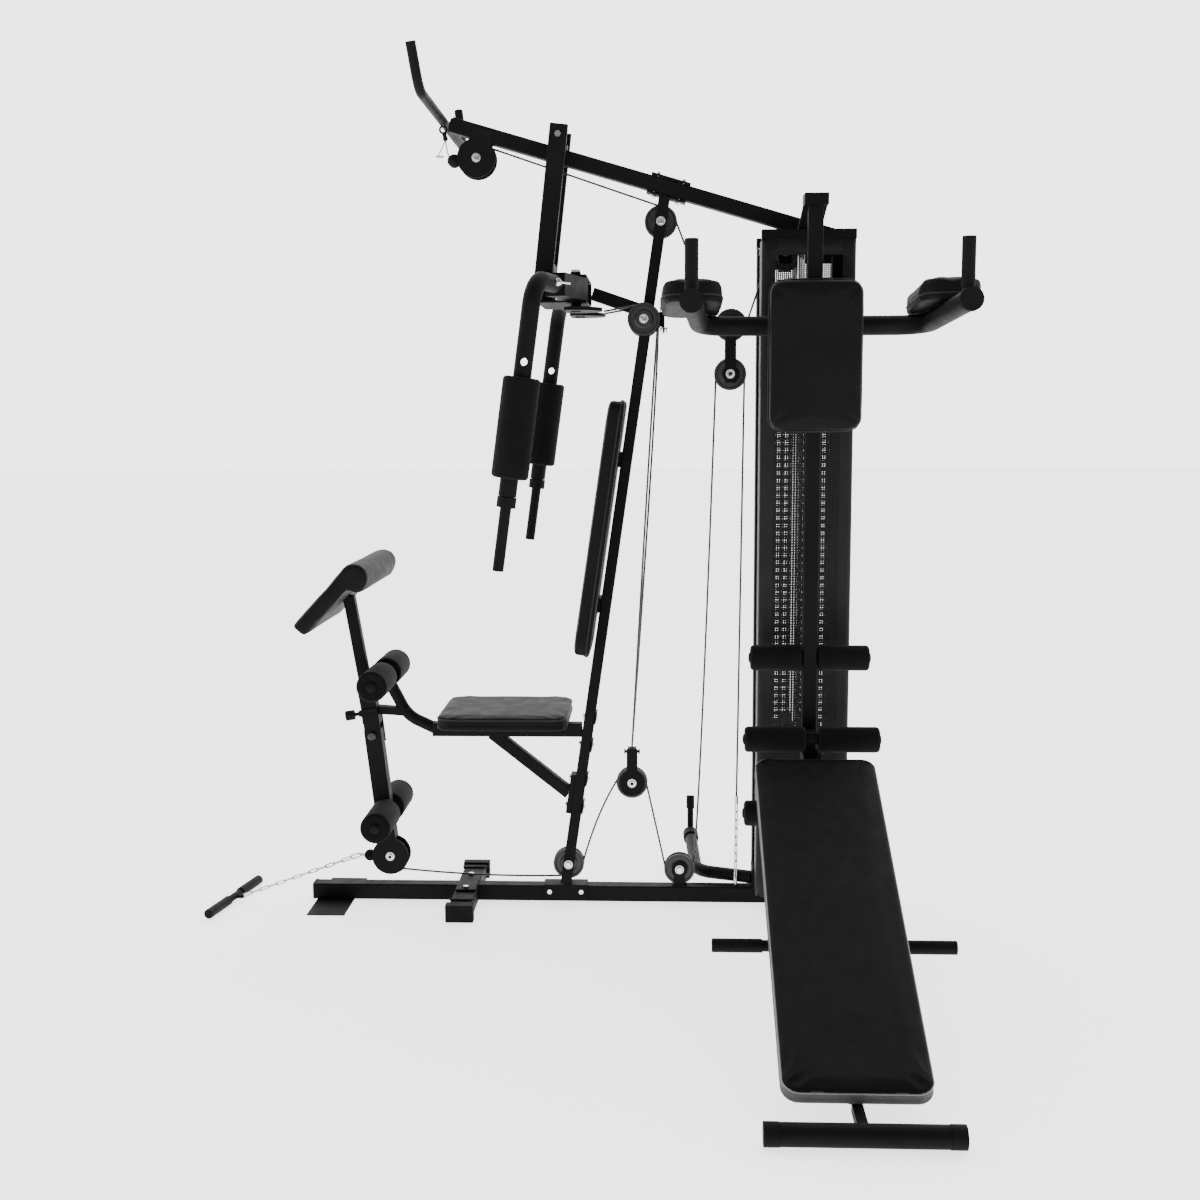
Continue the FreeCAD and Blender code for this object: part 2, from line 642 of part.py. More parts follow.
# ---------------------------------------------------------------- seat, back, leg lever, preacher
def make_seat():
    right_end = upright_x(size("seat_z")) - 17
    tube = bar("seat_tube", cell("seat_tube"), cell("seat_tube"), right_end + 372, (-372, 0, size("seat_z")),
               ALONG_X, cell("tube_wall"))
    front = bent_tube("seat_front_tube", [(-360, 0, 492), (-444, 0, 532), (-504, 0, 648)], [95], 16.5)
    roller_bar = rod("seat_roller_bar", cell("bar_radius"), 384, (-508, 0, 648))
    node(fuse("seat_frame_fuse", [tube, front, roller_bar]), "seat_frame")

    foot = Vector(upright_x(318) - 29, 0, 312)
    brace = bar("seat_brace_tube", "34", "34", 276, foot, Rotation(Z_AXIS, Vector(-182, 0, 145)), "2")
    mitre = box("seat_brace_mitre", (80, 80, 240), (upright_x(312) - 29 + 39.8, 0, 312), upright_lean)
    node(cut("seat_brace_cut", brace, mitre), "seat_brace")

    node(cushion("seat_pad", cell("seat_length"), cell("seat_width"), cell("seat_thick"), "24",
                 (-164, 0, 541), NO_TURN), "seat_pad")
    middle = Vector(upright_x(1065) - 46, 0, 1065)
    node(cushion("back_pad", cell("back_width"), cell("back_length"), cell("back_thick"), "28", middle,
                 upright_lean.multiply(Rotation(Vector(0, 1, 0), Vector(0, 0, 1), Vector(1, 0, 0), "ZXY"))),
         "back_pad")


def make_lever():
    turn = post_lean
    base = Vector(-543, 0, 509)
    outer = bar("receiver_tube", "46", "46", 96, base, turn, "4")
    ears = []
    for side in (-1, 1):
        ears.append(box("lever_ear", (46, 4, 92), (-540.5, side * 27.2, 496), lever_lean))
        ears.append(box("ear_filler", (46, 6, 40), (base + turn.multVec(Vector(0, side * 25.2, 26))), turn))
    arm = box("receiver_arm", (88, 30, 22), (-482, 0, 546), lean(4))
    boss = rod("knob_boss", 9, 14, (-576, 0, 536), lean(90 - size("preacher_tilt")))
    bore = rod("knob_bore", 5.4, 40, (-576, 0, 536), lean(90 - size("preacher_tilt")))
    bracket = fuse("lever_bracket_fuse", [outer, arm, boss] + ears)
    node(cut("lever_bracket_cut", bracket, bore), "lever_bracket")

    top = Vector(*LEVER_PIVOT) + lever_lean.multVec(Vector(0, 0, 15))
    length = 318
    tube = bar("lever_tube", cell("lever_size"), cell("lever_size"), length,
               top + lever_lean.multVec(Vector(0, 0, -length)), lever_lean, cell("tube_wall"))
    bore = rod("lever_bore", 6.2, 80, LEVER_PIVOT)
    arms = [cut("lever_drilled", tube, bore),
            rod("lever_roller_bar", cell("bar_radius"), 384, (-507, 0, 256))]
    for side in (-1, 1):
        guard = rod("leg_guard", cell("shroud_radius"), cell("plate_thick"),
                    (LEG_WHEEL[0], side * 21.5, LEG_WHEEL[2]))
        strap = box("leg_strap", (44, 3, 70), (LEG_WHEEL[0] - 5, side * 21.5, LEG_WHEEL[2] + 45), lever_lean)
        arms += [guard, strap]
    arms.append(bolt("leg_pulley_bolt", LEG_WHEEL, 23))
    node(fuse("leg_lever_fuse", arms), "leg_lever")
    foam = [ring("leg_foam", cell("seat_foam_radius"), cell("bar_radius"), 168, (-507, side * 112, 256))
            for side in (-1, 1)]
    node(group("leg_foam_group", foam), "leg_foam_rollers")

    up = turn.multVec(Z_AXIS)
    inside = base + up * 20
    node(bar("preacher_tube", cell("preacher_size"), cell("preacher_size"), 348, inside, turn,
             cell("tube_wall")), "preacher_post")
    slab_turn = lean(42)
    slope, face = slab_turn.multVec(Z_AXIS), slab_turn.multVec(-X_AXIS)
    low_corner, slab_length, slab_thick = Vector(-714, 0, 813), 214, 40
    slab = bar("preacher_slab", cell("preacher_width"), str(slab_length), str(slab_thick), (0, 0, 0), NO_TURN,
               corner="6")
    slab.Placement = Placement(low_corner + slope * (slab_length * 0.5) - face * slab_thick,
                               Rotation(Y_AXIS, slope, face, "ZXY"))
    roll = rod("preacher_roll", 39, cell("preacher_width"), (-541, 0, 946))
    node(fuse("preacher_pad_fuse", [slab, roll]), "preacher_pad")
    knob = [rod("knob_stem", 5, 38, (-583.9, 0, 534.7), lean(90 - size("preacher_tilt"))),
            rod("knob_grip", 14, 24, (-607.6, 0, 530.8), lean(90 - size("preacher_tilt")))]
    node(fuse("preacher_knob_fuse", knob), "preacher_knob")


def make_foam():
    parts = [ring("seat_foam", cell("seat_foam_radius"), cell("bar_radius"), 168, (-508, side * 112, 648))
             for side in (-1, 1)]
    parts += [ring("post_foam", cell("foam_radius"), cell("bar_radius"), 132,
                   (size("post_x") + side * 88, size("post_y"), 742), ALONG_X) for side in (-1, 1)]
    for height in (545, 350):
        parts += [ring("cross_foam", cell("foam_radius"), cell("bar_radius"), 155,
                       (size("post_x") + side * 94.5, -344, height), ALONG_X) for side in (-1, 1)]
    node(group("foam_rollers_group", parts), "foam_rollers")


# ---------------------------------------------------------------- weight tower
def make_tower():
    half_x, half_y = size("tower_width") * 0.5, size("tower_depth") * 0.5
    low, high = 50, size("tower_top") - 26
    middle_z, tall = (low + high) * 0.5, high - low
    for name, side in (("front", -1), ("rear", 1)):
        outer = box(name + "_outer", ("Sizes.tower_width", "Sizes.tower_depth / 2 - 40", tall),
                    (size("tower_x"), side * (half_y + 40) * 0.5, middle_z))
        depth = half_y - 40
        inner = box(name + "_inner", ("Sizes.tower_width - 2 * Sizes.sheet_thick", depth, tall + 4),
                    (size("tower_x"), side * ((half_y + 40) * 0.5 - size("sheet_thick")), middle_z))
        hollow = [inner]
        if name == "front":
            hollow.append(box("guard_window", (170, 30, 150), (size("tower_x"), -half_y, 1730)))
        node(cut(name + "_guard_cut", outer, fuse(name + "_hollow", hollow) if len(hollow) > 1 else inner),
             "guard_sheet_" + name)

    frame = [box("tower_floor", ("Sizes.tower_width", "Sizes.tower_depth", 4), (size("tower_x"), 0, 47.4))]
    for side in (-1, 1):
        frame.append(box("top_rail", (size("tower_width"), 30, 25),
                         (size("tower_x"), side * (half_y - 15), size("tower_top") - 12.5)))
        frame.append(box("top_cross", (20, size("tower_depth") - 60.6, 12),
                         (size("tower_x") + side * (half_x - 12.2), 0, size("tower_top") - 44 + side * 3)))
        frame.append(box("rod_plate", (40, 71, 6), (size("stack_x"), side * 56, 1828)))
        frame.append(box("floor_stub", (40, 208, 44), (size("post_x"), side * (22.8 + 104), 22)))
    frame.append(box("post_foot", (70, 52, 4), (size("post_x"), size("post_y") + 2, 47.4)))
    frame.append(bar("tower_post", "42", "42", 1753, (749, 0, 49.6), NO_TURN, cell("tube_wall")))
    node(group("tower_frame_group", frame), "tower_frame")

    rods = [rod("guide_rod", cell("rod_radius"), 1775.3,
                (size("stack_x"), side * size("rod_spread"), 937.2), NO_TURN) for side in (-1, 1)]
    node(group("guide_rods_group", rods), "guide_rods")

    still = [stack_plate("still_plate", index) for index in range(11)]
    still += [ring("stack_bumper", 18, size("rod_radius") + 0.6, 18,
                   (size("stack_x"), side * size("rod_spread"), 58.8), NO_TURN) for side in (-1, 1)]
    node(group("still_weights_group", still), "weight_stack_resting")
    lifted = [stack_plate("lifted_plate", index) for index in range(11, 17)]
    top = stack_z(17)
    stem = [rod("stem_shaft", 9, 60, (size("stack_x"), 0, top + 17.5), NO_TURN),
            box("stem_head", (70, 130, 18), (size("stack_x"), 0, top - 3.6)),
            rod("stem_eye", 7, 14, (size("stack_x"), 0, top + 54.5), NO_TURN)]
    head = cut("stem_head_cut", fuse("stem_fuse", stem), fuse("stem_bores", [
        rod("stem_bore", size("rod_radius") + 0.6, 60,
            (size("stack_x"), side * size("rod_spread"), top), NO_TURN)
        for side in (-1, 1)]))
    node(group("lifted_weights_group", lifted + [head]), "weight_stack_lifted")


def stack_z(index):
    """Middle height of a weight plate, counted from the floor."""
    return 81 + index * size("stack_pitch")


def stack_plate(name, index):
    slab = box(name, (cell("stack_width"), cell("stack_depth"), cell("stack_plate")),
               (size("stack_x"), 0, stack_z(index)))
    bores = [rod(name + "_bore", size("rod_radius") + 0.6, 40,
                 (size("stack_x"), side * size("rod_spread"), stack_z(index)), NO_TURN) for side in (-1, 1)]
    return cut(name + "_drilled", slab, fuse(name + "_bores", bores))


def make_station():
    x, y = size("post_x"), size("post_y")
    node(bar("vkr_post", cell("post_size"), cell("post_size"), 1840, (x, y, 51.6), NO_TURN, cell("tube_wall")),
         "knee_raise_post")
    standing = Rotation(Vector(1, 0, 0), Vector(0, 0, 1), Vector(0, -1, 0), "ZXY")
    node(cushion("vkr_pad", cell("vkr_width"), cell("vkr_length"), cell("vkr_thick"), "34", (x, -304.6, 1518),
                 standing), "knee_raise_pad")
    reach, height = size("dip_reach"), size("dip_height")
    run = [(x - reach, -622, height + 35), (x - reach + 30, -204, height),
           (x + reach - 30, -204, height), (x + reach, -622, height + 35)]
    node(bent_tube("dip_tube", run, [82, 82], size("dip_radius"), size("dip_radius") - 2), "dip_bars")
    pads, grips, caps = [], [], []
    for side in (-1, 1):
        pad = box("elbow_slab", (150, 300, 60), (x + side * 312, -305.4, 1660.7), Rotation(X_AXIS, -4.8))
        soft = doc.addObject("Part::Fillet", "elbow_pad")
        soft.Base = pad
        doc.recompute([pad])
        soft.Edges = [(index + 1, 18.0, 18.0) for index, edge in enumerate(pad.Shape.Edges)
                      if abs(edge.Vertexes[0].Z - edge.Vertexes[1].Z) > 40]
        pads.append(soft)
        grips.append(rod("dip_grip", 16, 118, (x + side * reach, -590, 1717.6), NO_TURN))
        caps.append(rod("dip_cap", 28, 14, (x + side * (reach + 0.5), -629.6, height + 35.6),
                        Rotation(Z_AXIS, Vector(-side * 30, 418, -35))))
    node(group("elbow_pads_group", pads), "elbow_pads")
    node(group("dip_grips_group", grips + caps), "dip_grips")


def make_bench():
    slope = math.radians(size("bench_slope"))
    along = Vector(0, -math.cos(slope), -math.sin(slope))
    up = Vector(0, -math.sin(slope), math.cos(slope))
    head = Vector(size("post_x"), -404, 520)
    turn = Rotation(Vector(1, 0, 0), along, up, "ZXY")
    middle = head + along * (size("bench_length") * 0.5) - up * (size("bench_thick") * 0.5)
    node(cushion("bench_pad", cell("bench_width"), cell("bench_length"), cell("bench_thick"), "34", middle, turn),
         "bench_pad")
    drop = size("bench_thick") + size("bench_tube") * 0.5 + 0.3
    start = Vector(*BENCH_PIVOT) - along * 14
    turn_tube = Rotation(Vector(1, 0, 0), Vector(0, 0, 1), along, "ZXY")
    tube = bar("bench_tube", cell("bench_tube"), cell("bench_tube"), 1068, start, turn_tube, cell("tube_wall"))
    bore = rod("bench_bore", 6.2, 60, BENCH_PIVOT, ALONG_X)
    neck = box("bench_neck", (22, 96, 20), (size("post_x"), -1356, 24))
    foot = rod("bench_foot", 23, 322, (size("post_x"), -1424, 24), ALONG_X)
    spot = head + along * 576 - up * (drop + size("bench_tube") * 0.5 + 14.6)
    handles = rod("bench_handle_bar", 13, 544, spot, ALONG_X)
    clamp = box("handle_clamp", (34, 34, 12), spot + up * 11, turn)
    drilled = cut("bench_tube_drilled", tube, bore)
    node(fuse("bench_frame_fuse", [drilled, neck, foot, handles, clamp]), "bench_frame")
    caps = [rod("bench_cap", 24, 30, (size("post_x") + side * 176.4, -1424, 24), ALONG_X) for side in (-1, 1)]
    sleeves = [ring("bench_grip", 15.5, 13, 112, spot + X_AXIS * (side * 216), ALONG_X) for side in (-1, 1)]
    node(group("bench_rubber_group", caps + sleeves), "bench_rubber_parts")


# ---------------------------------------------------------------- press arm and butterfly arms
HUB_Z = 1700


def make_press():
    turn = press_lean
    down = turn.multVec(Vector(0, 0, -1))
    members = []
    for side in (-1, 1):
        top = Vector(*PRESS_PIVOT) - down * 27 + Vector(0, side * size("press_spread"), 0)
        foot = top + down * (27 + size("press_length") + 14)
        tube = bar("press_tube", cell("press_width"), cell("press_depth"), "Sizes.press_length + 41", foot, turn,
                   cell("tube_wall"))
        members.append(tube)
    cross = box("press_cross", (46, 118, 40), (-40, 0, HUB_Z + 54))
    plates = []
    for height, thick in ((HUB_Z + 34.6, 5), (HUB_Z - 32.6, 5)):
        plates.append(box("hub_plate", (130, 2 * size("arm_pivot_y") + 44, thick), (9, 0, height)))
    web = box("hub_web", (36, 120, 66), (-38, 0, HUB_Z + 1))
    bores = [rod("hub_bore", 14.4, 140, (size("arm_pivot_x"), side * size("arm_pivot_y"), HUB_Z), NO_TURN)
             for side in (-1, 1)]
    bores.append(rod("pivot_bore", 6.2, 200, PRESS_PIVOT))
    solid = fuse("press_fuse", members + [cross, web] + plates)
    node(cut("press_cut", solid, fuse("press_bores", bores)), "press_arm")


def make_arms():
    reach = size("arm_reach")
    for name, side in SIDES:
        pivot = Vector(size("arm_pivot_x"), side * size("arm_pivot_y"), HUB_Z)
        bend = Vector(-36, side * reach, HUB_Z)
        out = bend - pivot
        out.normalize()
        low = Vector(-108, side * reach, 1176)
        tube = bent_tube("arm_tube_" + name, [pivot + out * 60, bend, low], [62], size("arm_radius"),
                         size("arm_radius") - 2)
        sleeve_turn = Rotation(out, Vector(0, 0, 1), out.cross(Vector(0, 0, 1)), "XYZ")
        sleeve = box("arm_sleeve_" + name, (205, 58, 50), pivot + out * 72, sleeve_turn)
        hub = rod("arm_hub_" + name, 14, 104, (pivot.x, pivot.y, HUB_Z - 8), NO_TURN)
        cam = rod("arm_cam_" + name, 70, 9, (pivot.x, pivot.y, HUB_Z - 53), NO_TURN)
        trim = box("arm_cam_trim_" + name, (90, 150, 12), (pivot.x - 72, pivot.y, HUB_Z - 53))
        window = rod("arm_window_" + name, 10, 80, (-63, side * reach, 1502))
        solid = fuse("arm_fuse_" + name, [tube, sleeve, hub, cut("cam_" + name, cam, trim)])
        shape = cut("arm_" + name, solid, window)
        node(shape, "butterfly_arm_" + name)
        down = low - bend
        down.normalize()
        top = bend + down * 261
        node(ring("arm_foam_" + name, 46, size("arm_radius") + 0.2, 248, top + down * 100,
                  Rotation(Z_AXIS, down)), "arm_foam_" + name)
        handle = [rod("handle_rod", 14, 230, low + down * 72, Rotation(Z_AXIS, down)),
                  ring("handle_collar", 24, 14, 26, low + down * 15, Rotation(Z_AXIS, down))]
        node(fuse("handle_fuse_" + name, handle), "arm_handle_" + name)


# ---------------------------------------------------------------- loose ends: lat bar, row handle, chains
def make_lat_bar():
    reach = size("lat_reach")
    run = [(-330, -reach - 26, 2262), (-315, -reach, 2153), (-315, reach, 2153), (-330, reach + 26, 2262)]
    node(bent_tube("lat_bar_rod", run, [48, 48], size("bar_radius")), "lat_bar")
    ball = doc.addObject("Part::Sphere", "lat_ball")
    ball.Radius = 14.5
    ball.Placement = Placement(Vector(-287, 0, 2050), NO_TURN)
    parts = [ball, rod("lat_shank", 4, 24, (-308, 0, 2056), lean(-75))]
    parts += link_chain("lat_snap", (-318, 0, 2060), (-316, 0, 2126), 2, 2.6, 20)
    eye = doc.addObject("Part::Torus", "lat_eye")
    eye.Radius1 = 9
    eye.Radius2 = 3
    eye.Placement = Placement(Vector(-315.4, 0, 2132.4), ALONG_Y)
    parts.append(eye)
    node(fuse("lat_hook_fuse", parts), "lat_hook")


def make_row_handle():
    ball = doc.addObject("Part::Sphere", "row_ball")
    ball.Radius = 14
    ball.Placement = Placement(Vector(-561, 0, 124), NO_TURN)
    hook = [ball, rod("row_shank", 4, 18, (-581, 0, 125), ALONG_X)]
    hook += link_chain("row_snap", (-592, 0, 124), (-612.6, -3.4, 118), 1, 2.4, 15)
    chain = [fuse("row_hook", hook)] + link_chain("row", (-618, -4, 116), (-917, -46, 16), 13)
    node(group("row_chain_group", chain), "row_chain")
    middle = Vector(-944, -48, 14)
    across = Vector(56, 300, 0)
    across.normalize()
    grip = [rod("row_bar", 10, 130, middle, Rotation(Z_AXIS, across))]
    grip += [ring("row_grip", 13.5, 10, 118, middle + across * (side * 96), Rotation(Z_AXIS, across))
             for side in (-1, 1)]
    grip += [rod("row_core", 10, 100, middle + across * (side * 105), Rotation(Z_AXIS, across))
             for side in (-1, 1)]
    eye = rod("row_eye", 5, 24, middle + Vector(15, -2, 0), ALONG_X)
    node(fuse("row_handle_fuse", grip + [eye]), "row_handle")


def make_anchor():
    links = link_chain("anchor", (483, 0, 282), (482, 0, 66), 9)
    links[-1] = fuse("anchor_foot", [links[-1], rod("anchor_hook", 5, 20, (482, 0, 55.4), NO_TURN)])
    links[0] = fuse("anchor_head", [links[0], rod("anchor_thimble", 5, 20, (483, 0, 292.8), NO_TURN)])
    node(group("anchor_chain_group", links), "anchor_chain")


# ---------------------------------------------------------------- pulleys, moving blocks and cables
def make_pulleys():
    for name, centre in (("lat_pulley", LAT_WHEEL), ("top_pulley", TOP_WHEEL), ("tower_pulley", TOWER_WHEEL),
                         ("base_pulley", BASE_WHEEL), ("side_pulley", SIDE_WHEEL), ("leg_pulley", LEG_WHEEL),
                         ("block_pulley_upper", BLOCK_TOP), ("block_pulley_lower", BLOCK_LOW),
                         ("chest_pulley", CHEST_WHEEL)):
        node(wheel_body(name, centre), name)
    x, y, z = MID_WHEELS
    pair = [wheel_body("mid_pulley_" + name, (x, side * y, z)) for name, side in SIDES]
    node(group("mid_pulleys_group", pair), "mid_pulleys")

    cheeks = []
    for side in (-1, 1):
        cheeks.append(box("block_cheek", (30, 4, 178),
                          (457.5, side * 15.4, (BLOCK_TOP[2] + BLOCK_LOW[2]) * 0.5)))
        cheeks.append(rod("block_end", 22, 4, (BLOCK_LOW[0], side * 15.4, BLOCK_LOW[2])))
    for centre in (BLOCK_TOP, BLOCK_LOW):
        cheeks.append(bolt("block_bolt", centre, 17.6))
    node(fuse("pulley_block_fuse", cheeks), "pulley_block")

    frame = [rod("chest_disc", 34, 3, (CHEST_WHEEL[0], side * 15, CHEST_WHEEL[2])) for side in (-1, 1)]
    frame += [box("chest_cheek", (30, 3, 96), (CHEST_WHEEL[0], side * 15, CHEST_WHEEL[2] + 44))
              for side in (-1, 1)]
    frame.append(box("chest_bridge", (24, 33, 22), (CHEST_WHEEL[0], 0, CHEST_WHEEL[2] + 88)))
    frame.append(bolt("chest_clamp", (CHEST_WHEEL[0], 0, CHEST_WHEEL[2] + 88), 18, ALONG_X, 4))
    frame.append(bolt("chest_bolt", CHEST_WHEEL, 16.5))
    node(fuse("chest_frame_fuse", frame), "chest_pulley_frame")


def wheel_stop(centre, side, y=0):
    return (Vector(centre[0], y, centre[2]), side)


def make_cables():
    lat = [Vector(-275.8, 0, 2061.2), wheel_stop(LAT_WHEEL, 1), wheel_stop(TOP_WHEEL, 1),
           wheel_stop(BLOCK_TOP, -1), wheel_stop(TOWER_WHEEL, 1), Vector(size("stack_x"), 0, stack_z(17) + 62)]
    node(feature("lat_cable_sweep", cable("lat_cable", lat)), "lat_cable")
    low = [Vector(-545.4, 0, 122), wheel_stop(LEG_WHEEL, -1), Vector(-235, 0, 60), wheel_stop(BASE_WHEEL, -1),
           Vector(90, 0, 262), wheel_stop(CHEST_WHEEL, 1), wheel_stop(SIDE_WHEEL, -1), Vector(380, 0, 240),
           wheel_stop(BLOCK_LOW, 1), Vector(483, 0, 303.2)]
    node(feature("low_cable_sweep", cable("low_cable", low)), "low_cable")
    runs = []
    x, y, z = MID_WHEELS
    for side in (-1, 1):
        stops = [Vector(size("arm_pivot_x") + 71, side * y, HUB_Z - 53), wheel_stop(MID_WHEELS, 1, side * y),
                 Vector(257, side * y, 1500), Vector(CHEST_WHEEL[0], side * 8, CHEST_WHEEL[2] + 99.2)]
        runs.append(feature("chest_cable_sweep", cable("chest_cable", stops)))
    node(group("chest_cables_group", runs), "chest_cables")


make_base()
make_end_caps()
make_brackets()
make_bolts()
make_seat()
make_lever()
make_foam()
make_tower()
make_station()
make_bench()
make_press()
make_arms()
make_lat_bar()
make_row_handle()
make_anchor()
make_pulleys()
make_cables()
doc.recompute()

faults = [obj.Label for obj in doc.Objects if "Invalid" in obj.State or "Error" in obj.State]
faults += [obj.Label for obj in nodes if obj.Shape.isNull() or not obj.Shape.isValid()]
if faults:
    raise RuntimeError("failed objects: " + ", ".join(faults))
os.makedirs("parts", exist_ok=True)
for obj in nodes:
    obj.Shape.exportStep(os.path.join("parts", obj.Label + ".step"))
print("%d sub-parts written" % len(nodes))
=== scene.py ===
import json
import math

import bmesh
import bpy
from mathutils import Matrix, Vector
from mathutils.bvhtree import BVHTree


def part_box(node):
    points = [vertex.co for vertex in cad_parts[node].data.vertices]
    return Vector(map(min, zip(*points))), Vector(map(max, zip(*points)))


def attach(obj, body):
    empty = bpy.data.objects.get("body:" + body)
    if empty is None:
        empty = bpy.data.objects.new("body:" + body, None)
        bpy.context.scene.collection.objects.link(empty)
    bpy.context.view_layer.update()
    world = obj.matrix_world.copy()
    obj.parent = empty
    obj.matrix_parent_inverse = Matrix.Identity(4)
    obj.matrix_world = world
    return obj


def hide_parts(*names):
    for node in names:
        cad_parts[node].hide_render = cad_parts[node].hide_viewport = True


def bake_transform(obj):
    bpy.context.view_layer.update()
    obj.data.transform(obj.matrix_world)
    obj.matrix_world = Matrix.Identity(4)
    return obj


# Looks of the multi station home gym, in metres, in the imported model's own frame: X along the base
# rail towards the weight tower, Y across it, away from the camera, Z up from the floor.
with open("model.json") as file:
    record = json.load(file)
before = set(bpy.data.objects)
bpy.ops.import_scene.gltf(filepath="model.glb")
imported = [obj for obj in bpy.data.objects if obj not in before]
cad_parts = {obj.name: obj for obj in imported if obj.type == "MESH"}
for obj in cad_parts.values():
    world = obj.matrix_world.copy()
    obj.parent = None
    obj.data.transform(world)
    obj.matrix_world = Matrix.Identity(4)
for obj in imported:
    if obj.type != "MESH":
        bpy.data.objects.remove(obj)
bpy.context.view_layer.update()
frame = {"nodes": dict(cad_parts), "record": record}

X, Y, Z = Vector((1, 0, 0)), Vector((0, 1, 0)), Vector((0, 0, 1))
UPRIGHT_LEAN = math.radians(8.3)
BENCH_SLOPE = math.radians(25.2)
PREACHER_SLOPE = math.radians(48)
ELBOW_TILT = math.radians(4.8)
ELBOW_SIZE = (0.150, 0.300, 0.060)
CABLE_RADIUS = 0.00275
GROOVE_RADIUS = 0.03855          # middle of a cable lying in a pulley's groove
CLOTH_VOXEL, CLOTH_PRESSURE, CLOTH_FRAMES = 0.006, 4.0, 20
ROLLER_BORE, ROLLER_PLUG = 0.0125, 0.0135
ARM_FOAM_RADIUS, ARM_FOAM_LENGTH, ARM_FOAM_BORE = 0.046, 0.248, 0.0225
ARM_FOAM_DIRECTION = Vector((-0.072, 0, -0.524)).normalized()
HINGE_NUT = Vector((0.045, 0.118, 1.7435))      # top of the far arm's hinge
PIVOT_CAP = Vector((-0.541, 0.0298, 0.478))     # far end of the leg lever's pivot
ARM_PIN = Vector((0.0145, -0.352, 1.700))       # head of the near arm's locking pin


def centre(node):
    low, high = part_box(node)
    return (low + high) / 2


def islands(node):
    """Boxes of a CAD node's separate solids, as (low, high) pairs."""
    mesh = bmesh.new()
    mesh.from_mesh(frame["nodes"][node].data)
    bmesh.ops.remove_doubles(mesh, verts=mesh.verts, dist=1e-6)
    found, seen = [], set()
    for seed in mesh.verts:
        if seed in seen:
            continue
        stack, members = [seed], []
        seen.add(seed)
        while stack:
            vert = stack.pop()
            members.append(vert.co.copy())
            for edge in vert.link_edges:
                other = edge.other_vert(vert)
                if other not in seen:
                    seen.add(other)
                    stack.append(other)
        low = Vector([min(point[axis] for point in members) for axis in range(3)])
        high = Vector([max(point[axis] for point in members) for axis in range(3)])
        found.append((low, high))
    mesh.free()
    return sorted(found, key=lambda pair: tuple(round(value, 4) for value in pair[0]))


# ---------------------------------------------------------------- materials
def surface(name, dark, light, rough, spread=0.05, metallic=0.0, specular=0.5, patch=6.0,
            grain="noise", grain_scale=400.0, grain_depth=0.0002, grain_strength=0.4, sheen=0.0):
    """Principled material: patchy colour and roughness, and a fine grain in its bump."""
    made = bpy.data.materials.new(name)
    made.use_nodes = True
    tree = made.node_tree
    shader = tree.nodes["Principled BSDF"]
    shader.inputs["Metallic"].default_value = metallic
    shader.inputs["Specular IOR Level"].default_value = specular
    shader.inputs["Sheen Weight"].default_value = sheen
    place = tree.nodes.new("ShaderNodeTexCoord")

    def noise(scale, detail=4.0):
        found = tree.nodes.new("ShaderNodeTexNoise")
        found.inputs["Scale"].default_value = scale
        found.inputs["Detail"].default_value = detail
        tree.links.new(place.outputs["Object"], found.inputs["Vector"])
        return found

    colours = tree.nodes.new("ShaderNodeValToRGB")
    colours.color_ramp.elements[0].position = 0.3
    colours.color_ramp.elements[0].color = (*dark, 1)
    colours.color_ramp.elements[1].position = 0.7
    colours.color_ramp.elements[1].color = (*light, 1)
    tree.links.new(noise(patch).outputs["Fac"], colours.inputs["Fac"])
    tree.links.new(colours.outputs["Color"], shader.inputs["Base Color"])

    gloss = tree.nodes.new("ShaderNodeMapRange")
    gloss.inputs["From Min"].default_value = 0.3
    gloss.inputs["From Max"].default_value = 0.7
    gloss.inputs["To Min"].default_value = rough - spread
    gloss.inputs["To Max"].default_value = rough + spread
    tree.links.new(noise(patch * 5).outputs["Fac"], gloss.inputs["Value"])
    tree.links.new(gloss.outputs["Result"], shader.inputs["Roughness"])

    if grain == "cells":
        texture = tree.nodes.new("ShaderNodeTexVoronoi")
        texture.inputs["Scale"].default_value = grain_scale
        tree.links.new(place.outputs["Object"], texture.inputs["Vector"])
        height = texture.outputs["Distance"]
    else:
        height = noise(grain_scale, 3.0).outputs["Fac"]
    bump = tree.nodes.new("ShaderNodeBump")
    bump.inputs["Strength"].default_value = grain_strength
    bump.inputs["Distance"].default_value = grain_depth
    tree.links.new(height, bump.inputs["Height"])
    tree.links.new(bump.outputs["Normal"], shader.inputs["Normal"])
    return made


POWDER = surface("powder_coat", (0.0035, 0.0035, 0.004), (0.0055, 0.0055, 0.006), 0.60, 0.05, specular=0.07,
                 grain_scale=900, grain_depth=0.00008)
GUARD = surface("guard_paint", (0.009, 0.009, 0.010), (0.013, 0.013, 0.014), 0.58, 0.05, specular=0.12,
                grain_scale=900, grain_depth=0.00006)
CAST = surface("weight_paint", (0.010, 0.010, 0.0105), (0.018, 0.018, 0.018), 0.6, 0.08, specular=0.3,
               grain_scale=260, grain_depth=0.0003)
CHROME = surface("chrome", (0.70, 0.70, 0.71), (0.78, 0.78, 0.79), 0.14, 0.04, metallic=1.0,
                 grain_strength=0.05, grain_scale=120)
ZINC = surface("zinc", (0.50, 0.51, 0.52), (0.62, 0.63, 0.64), 0.33, 0.08, metallic=1.0,
               grain_strength=0.15, grain_scale=300)
LEATHER = surface("leatherette", (0.0035, 0.0035, 0.004), (0.0055, 0.0055, 0.006), 0.60, 0.05,
                  specular=0.08, grain="cells", grain_scale=620, grain_depth=0.00025, grain_strength=0.4)
